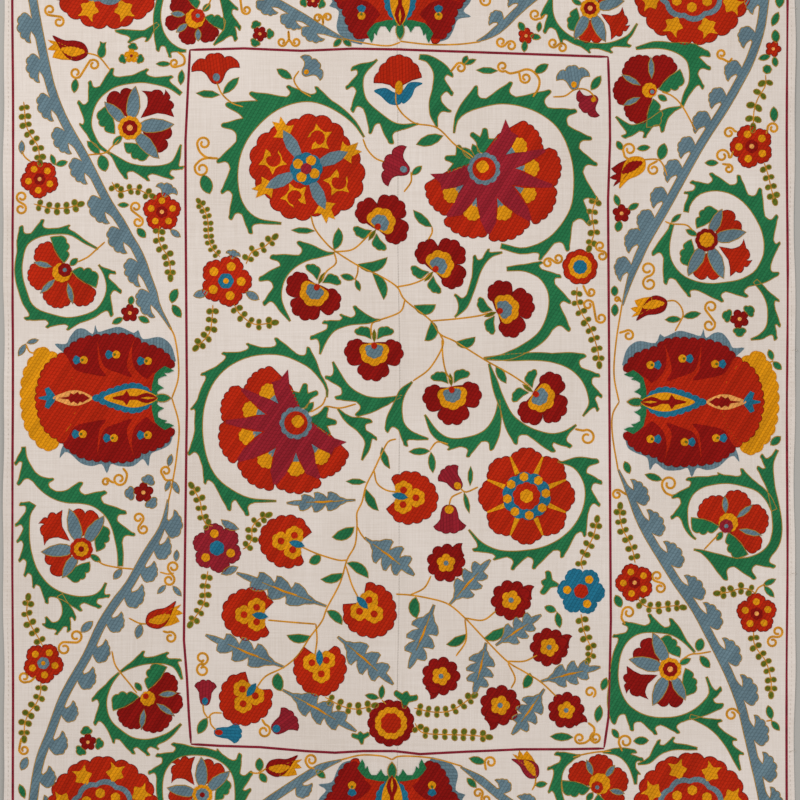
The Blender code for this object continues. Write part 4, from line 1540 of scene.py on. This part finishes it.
vine([(499, 400), (497, 418), (487, 433), (470, 441), (450, 442), (435, 433), (425, 415)],
    [(492, 450), (468, 457), (448, 450)], level=-0.4)
vine([(412, 382), (402, 393), (398, 408), (400, 424), (411, 435), (428, 439)], [(386, 431), (404, 445)])
vine([(402, 396), (384, 401), (365, 400), (350, 392), (340, 379), (333, 362)],
    [(357, 416), (336, 399), (325, 377)], level=-0.4)
vine([(338, 409), (349, 421), (361, 430), (368, 443), (362, 460)], [(371, 420), (376.5, 437.5)], 7)
stem((396, 439), (388, 442), (381, 455), (374, 470), (366, 486), (362, 502), (357, 513), (357, 526),
    (355, 545), (347, 560), (340, 583), (327, 608), (322, 621), (310, 637), (298, 655), (284, 667),
    (266, 676), (257, 687))
stem((374, 470), (377, 483), (386, 490), (396, 492))
leaves("green", (382, 447, 23, 7, -70, -0.12), (366, 482, 20, 6, 178), (366, 489, 25, 9, -60, -0.15),
    (354, 527, 24, 11, 205, 0.2), (320, 555, 13, 9, 215, 0.2), (347, 563, 26, 10, -35, 0.2),
    (344, 573, 24, 9, 195, 0.2), (327, 611, 20, 9, -42, 0.2), (311, 636, 24, 9, 178, 0.25),
    (278, 673, 18, 11, -80, -0.2), (416, 597, 21, 11, -88, -0.2), (466, 634, 22, 9, 208, 0.2),
    (484, 638, 23, 10, 28, -0.25), (530, 673, 16, 9, -114, 0.15), (430, 451, 21, 7, 182),
    (431, 452, 21, 7, -85), (470, 486, 20, 5, 88), (464, 492, 22, 5, -76))
stem((448, 444), (437, 442), (430, 450))
bell(460, 489, 25, 127, "crimson", "gold", 0.78)
bell(449, 505, 27, -88, "crimson", "gold", 0.95)
stem((460, 488), (466, 492), (478, 487))
stem((449, 505), (452, 497), (462, 492))
spokeRosette(526.5, 496, 47.5, 0)
vine([(558, 461.5), (574, 466), (584, 477), (588, 490), (587, 505), (582, 519), (573, 532), (560, 543),
    (543, 550.5), (525, 553.5), (508, 554), (494, 551.5), (480, 543), (469, 530)],
    [(598, 460), (602, 483), (600, 505), (585.5, 535.7), (562, 557.5), (535, 568.7), (512.4, 569.8),
    (493.4, 559.7), (474.3, 551.4)], 7.5)
ringFlower(580, 267, 18, "scarlet", "gold", "teal")
curls(548, 263, 558, 258.5, 4, 1)
curls(600, 246, 602, 256, 4, -1)
curl(591, 292, 4.4, 200, 1, [(583, 285), (585, 290)])
curls(588, 305, 601, 318, 4.4, 1)
roundFlower(226, 281, 25, 70, heart="teal", eye="gold")
for run in (
    ((246, 264), (252, 252), (264, 247), (273, 239)),
    ((213, 305), (212, 320), (209, 334), (198, 346)),
    ((234, 304), (240, 314), (254, 324), (272, 323)),
    ((213, 526), (206, 524), (202, 514), (200, 501), (193, 488)),
    ((243, 549), (248, 546), (252, 538), (252, 528), (258, 520), (266, 516)),
    ((208, 571), (205, 588), (204, 603), (192, 622)),
    ((582.5, 569), (581, 561), (585, 552), (590, 543), (594, 534), (596.5, 522)),
    ((581, 614), (583, 628), (588, 641), (592, 650), (589, 658)),
    ((325, 697), (342, 706), (357, 709), (372, 706)),
    ((414, 708), (434, 712), (452, 710), (472, 697)),
    ((415, 723), (419, 730), (427, 733.5), (450, 734.5), (470, 735), (486, 736.5)),
):
    garland(*run)
garland((220, 257), (212, 248), (208.5, 236), (208, 222), (205, 211), (200, 203), gap=6.6, long=2.4, wide=2.2)
tulip(232, 259, 9, 75, "slate", None)
leaves("slate", (208, 292, 15, 8, 195), (246, 292, 15, 8, -30), (239, 529, 20, 8, 152, 0.15),
    (238, 567, 18, 8, 203))
vine([(327, 397), (326, 386), (313, 368), (298, 358), (282, 352), (263, 351), (243, 355), (223, 366),
    (208, 384), (200, 408), (199, 434), (204, 460), (214, 479), (230, 492), (250, 500), (276, 501)],
    [(308, 347), (277, 338), (247, 343.5), (224, 352), (202, 373), (191, 408), (188, 453), (205, 484),
    (228, 510), (247, 515.5)], 8.5)
fanRosette(296, 423, 219, -1)
stem((311, 412), (322, 405), (326, 397))
stem((326, 406), (340, 408), (356, 404))
for row in table(
    "x y r turn",
    (411, 498, 25.5, -10), (286, 541, 25.5, 165), (249, 614, 25.5, 172), (370, 611, 26, -48),
    (320, 669, 25.5, -88), (245, 699, 25.5, -125),
):
    carnation(**row)
stem((302, 547), (318, 554), (338, 560), (347, 560))
stem((268, 620), (290, 622), (316, 624))
stem((316, 624), (317, 640), (315, 655))
stem((346, 566), (352, 585), (358, 597))
roundFlower(217, 548, 24, 100, 6, "crimson", "gold", "teal", None, 3)
spikyLeaves((355, 500, 287, 503, 20), (365, 538, 414, 575, 30), (326, 606, 237, 573, 25),
    (284, 667, 206, 635, 26), (283, 690, 356, 731, 26), (338, 637, 393, 684, 28), (434, 605, 409, 668, 30),
    (450, 604, 490, 560, 26), (486, 643, 474, 694, 28), (496, 645, 541, 615, 24), (541, 681, 600, 667, 24),
    (544, 689, 512, 734, 26))
stem((357, 526), (361, 534), (366, 540))
for row in table(
    "x y r turn",
    (446, 563, 20, 45), (511, 600, 21, 25), (549, 647, 20, 20), (441, 676, 20, 240), (500, 705, 21, 243),
    (566, 710, 19, -35),
):
    starFlower(**row)
stem((396, 594), (410, 595), (428, 598), (448, 604), (465, 618), (484, 638), (507, 661), (525, 672),
    (541, 682), (556, 696))
stem((410, 595), (424, 588), (431, 576))
stem((465, 618), (483, 620), (496, 611))
stem((465, 619), (466, 640), (456, 656))
stem((507, 661), (524, 661), (537, 655))
stem((508, 663), (515, 678), (511, 688))
roundFlower(581, 591, 23, 55, 6, "teal", "gold", "scarlet", None, 3)
patch(threeLobed, "green", 558, 585, 0.95, 168)
leaves("green", (556, 611, 12, 7, 160), (557, 612, 16, 7, -80))
patch(scallopRound(13, 25), "darkRed", 391, 723)
inlay(scallopRound(12, 17.5), "gold", 391, 723, level=1)
inlay(scallopRound(8, 11), "scarlet", 391, 723, level=2)
patch(threeLobed, "green", 404, 708, 0.95, 80)
patch(threeLobed, "green", 362, 744, 0.7, 98)
leaves("green", (379, 698, 14, 6, 168), (381, 699, 14, 6, 84))
stem((386, 704), (382, 700))
bell(205, 705, 24, 88, "crimson", "teal", 0.72)
stem((203, 704), (204, 712), (208, 718))
stem((208, 718), (213, 713), (222, 713))
stem((210, 716), (211, 724), (216, 730))
bell(273, 731, 26, 36, "crimson", "teal", 0.85)
bell(214.5, 732, 26, -3, "teal", "scarlet", 0.6)
leaves("green", (207, 718, 18, 9, -120), (573, 737, 23, 8, 178), (602, 690, 13, 7, 70), (597, 722, 17, 8, 80))
curls(202, 658, 203, 670, 5.6, 1)
curl(264, 731, 6.6, 60, -1, [(262, 719), (265, 724)])
curl(590, 692, 6, -60, 1)
curl(579.5, 738, 5.4, -70, -1, [(588, 722.5), (594, 728), (592.5, 736), (586, 742)])
curl(595.5, 737.5, 5, -110, 1, [(593, 732), (590, 738)])


def toMesh(name, material):
    made = work[name]
    plane = np.array(made["points"])
    spots = np.empty_like(plane)
    spots[:, :2] = plane[:, :2] / 1000
    spots[:, 2] = cottonTop(spots[:, 0], spots[:, 1]) + plane[:, 2] / 1000
    mesh = bpy.data.meshes.new(name)
    mesh.from_pydata(spots.tolist(), [], made["faces"])
    corners = np.empty(len(mesh.loops), np.int32)
    mesh.loops.foreach_get("vertex_index", corners)
    rows = mesh.uv_layers.new(name="rows")
    rows.data.foreach_set("uv", np.array(made["rows"])[corners].ravel())
    mesh.materials.append(material)
    mesh.shade_smooth()
    mesh.set_sharp_from_angle(angle=math.radians(50))
    piece = bpy.data.objects.new(name, mesh)
    bpy.context.scene.collection.objects.link(piece)
    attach(piece, "root")
    return piece


# The hems' running stitch, the ladder that joins the two widths and a few loose ends at the right
# edge, in millimetres.
sewing = {
    "hemPitch": 9.0,
    "hemStitch": 4.2,
    "stray": 0.3,           # how far a hem stitch slants by hand
    "fromEdge": 7.6,
    "seamPitch": 5.2,
    "reach": 1.5,           # of a seam stitch, to each side of the seam
    "width": 0.42,
}


def stitch(ax, ay, bx, by):
    # in millimetres from the middle of the cover
    middleX, middleY = cover["middle"]
    ends = [(middleX + x / squareMm, middleY - y / squareMm) for x, y in ((ax, ay), (bx, by))]
    line(ends, "hem", sewing["width"], -0.8)


halfWide, halfLong = cover["width"] * 500, cover["length"] * 500
for edge, side in (("left", -1), ("right", 1)):
    for k in range(int(2 * halfLong / sewing["hemPitch"]) - 2):
        y = halfLong - sewing["hemPitch"] * (k + 1.5)
        x = side * (halfWide - sewing["fromEdge"]) + wander(edge, y / 1000) * 1000
        stitch(x, y, x + shake.uniform(-sewing["stray"], sewing["stray"]), y - sewing["hemStitch"])
for edge, side in (("bottom", -1), ("top", 1)):
    for k in range(int(2 * halfWide / sewing["hemPitch"]) - 2):
        x = sewing["hemPitch"] * (k + 1.5) - halfWide
        y = side * (halfLong - sewing["fromEdge"]) + wander(edge, x / 1000) * 1000
        stitch(x, y, x + sewing["hemStitch"], y + shake.uniform(-sewing["stray"], sewing["stray"]))
for k in range(int(2 * halfLong / sewing["seamPitch"]) - 1):
    y = halfLong - sewing["seamPitch"] * (k + 1)
    x = seamLine(y / 1000) * 1000
    stitch(x - sewing["reach"], y - 0.5, x + sewing["reach"], y + 0.5)
for x, y, reach in ((794, 8, 2.4), (794.5, 350, 2.6), (794, 573, 2.2), (793.5, 750.5, 2.0)):
    line([(x - 4, y + 1), (x - 1, y), (x + reach * 0.5, y + 0.6), (x + reach, y - 0.6)], "hem", 0.45, -0.6)

for name in sorted(work):
    thread = name.removesuffix("Line")
    if thread == "hem":
        # two-ply cotton, a shade whiter than the cloth it sews
        material = chainSilk("undyed cotton sewing thread", threads[thread]["dye"])
    elif name.endswith("Line"):
        material = chainSilk(f"chain-stitched silk, {thread}", threads[thread]["dye"])
    else:
        material = laidSilk(f"laid silk, {thread}", threads[thread]["dye"])
    piece = toMesh(name, material)
    print("stitched", name, sum(len(p.vertices) - 2 for p in piece.data.polygons))


# The cotton: each loom width is a grid, shaped as the cloth lies and then given its thickness.
def stations(length, firstBand, lastBand, cells):
    first, last = firstBand + cover["step"], length - lastBand - cover["step"]
    even = np.linspace(first, last, cells + 1)
    return np.concatenate([[0, firstBand], even, [length - lastBand, length]])


def selectOnly(piece):
    bpy.ops.object.select_all(action="DESELECT")
    piece.select_set(True)
    bpy.context.view_layer.objects.active = piece


def makePanel(side, material):
    halfWidth, halfLength = cover["width"] / 2, cover["length"] / 2
    seamEdge = cover["seamX"] + side * cover["seamGap"] / 2
    outerEdge = side * halfWidth
    leftEdge, rightEdge = sorted((seamEdge, outerEdge))
    bands = (cover["seamAllowance"], cover["hem"])[::side]
    across = stations(rightEdge - leftEdge, *bands, cover["columns"])
    along = stations(cover["length"], cover["hem"], cover["hem"], cover["rows"])
    bpy.ops.object.select_all(action="DESELECT")
    bpy.ops.mesh.primitive_grid_add(
        x_subdivisions=len(across) - 1, y_subdivisions=len(along) - 1, size=1
    )
    panel = bpy.context.object
    panel.name = panel.data.name = "cotton_" + ("right" if side > 0 else "left")
    spots = np.empty(len(panel.data.vertices) * 3)
    panel.data.vertices.foreach_get("co", spots)
    spots = spots.reshape(-1, 3)
    column = np.rint((spots[:, 0] + 0.5) * (len(across) - 1)).astype(int)
    row = np.rint((spots[:, 1] + 0.5) * (len(along) - 1)).astype(int)
    x, y = leftEdge + across[column], along[row] - halfLength
    fromSeam = np.abs(x - seamEdge) / abs(outerEdge - seamEdge)
    xShift = fromSeam * wander("right" if side > 0 else "left", y) + (1 - fromSeam) * wander("seam", y)
    yShift = np.where(y > 0, wander("top", x), wander("bottom", x)) * np.abs(y) / halfLength
    x, y = x + xShift, y + yShift
    panel.data.vertices.foreach_set("co", np.column_stack([x, y, cottonTop(x, y)]).ravel())
    layer = panel.modifiers.new("cotton", "SOLIDIFY")
    layer.thickness = cover["cotton"]
    layer.offset = -1.0
    selectOnly(panel)
    bpy.ops.object.modifier_apply(modifier=layer.name)
    for vertex in panel.data.vertices:
        vertex.co.z = max(vertex.co.z, 0)
    bpy.ops.object.shade_smooth_by_angle(angle=math.radians(50))
    panel.data.materials.append(material)
    return panel


cotton = handwovenCotton("handwoven cotton, undyed")
for side, name in ((-1, "panel_left"), (1, "panel_right")):
    panel = makePanel(side, cotton)
    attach(panel, "root")
    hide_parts(name)
print("cotton panels made")

# The floor, the light and the camera.
studio = {
    "floor": 9.0,
    "floorDrop": 0.0002,    # keeps the floor clear of the cotton's underside
    "floorColour": "#AFACA6",
    "photoWidth": 800,      # squares that the camera takes in across the cover
    "lens": 100,
    "sensor": 36,
    "sky": 0.36,
}
selectOnly(panel)
bpy.ops.mesh.primitive_plane_add(size=studio["floor"], location=(0, 0, -studio["floorDrop"]))
floor = bpy.context.object
floor.name = "floor"
floorPaint, _, _ = newMaterial("matt studio floor", Base_Color=linear(studio["floorColour"]), Roughness=0.9)
floor.data.materials.append(floorPaint)

sky = bpy.data.worlds.new("soft room light")
sky.use_nodes = True
sky.node_tree.nodes["Background"].inputs["Color"].default_value = (1, 1, 1, 1)
sky.node_tree.nodes["Background"].inputs["Strength"].default_value = studio["sky"]
bpy.context.scene.world = sky
for name, place, size, power in (
    ("key", (-1.6, 2.2, 3.2), 2.4, 94),
    ("fill", (2.2, -1.8, 3.0), 3.0, 54),
):
    lamp = bpy.data.lights.new(name, "AREA")
    lamp.size = size
    lamp.energy = power
    lampObject = bpy.data.objects.new(name, lamp)
    lampObject.location = place
    lampObject.rotation_euler = (-Vector(place)).to_track_quat("-Z", "Y").to_euler()
    bpy.context.scene.collection.objects.link(lampObject)

camera = bpy.data.cameras.new("camera")
camera.lens = studio["lens"]
camera.sensor_width = studio["sensor"]
cameraObject = bpy.data.objects.new("camera", camera)
reach = studio["photoWidth"] * square * camera.lens / camera.sensor_width
cameraObject.location = ((400 - cover["middle"][0]) * square, 0, reach)
bpy.context.scene.collection.objects.link(cameraObject)
bpy.context.scene.camera = cameraObject
bpy.context.scene.view_settings.view_transform = "Standard"
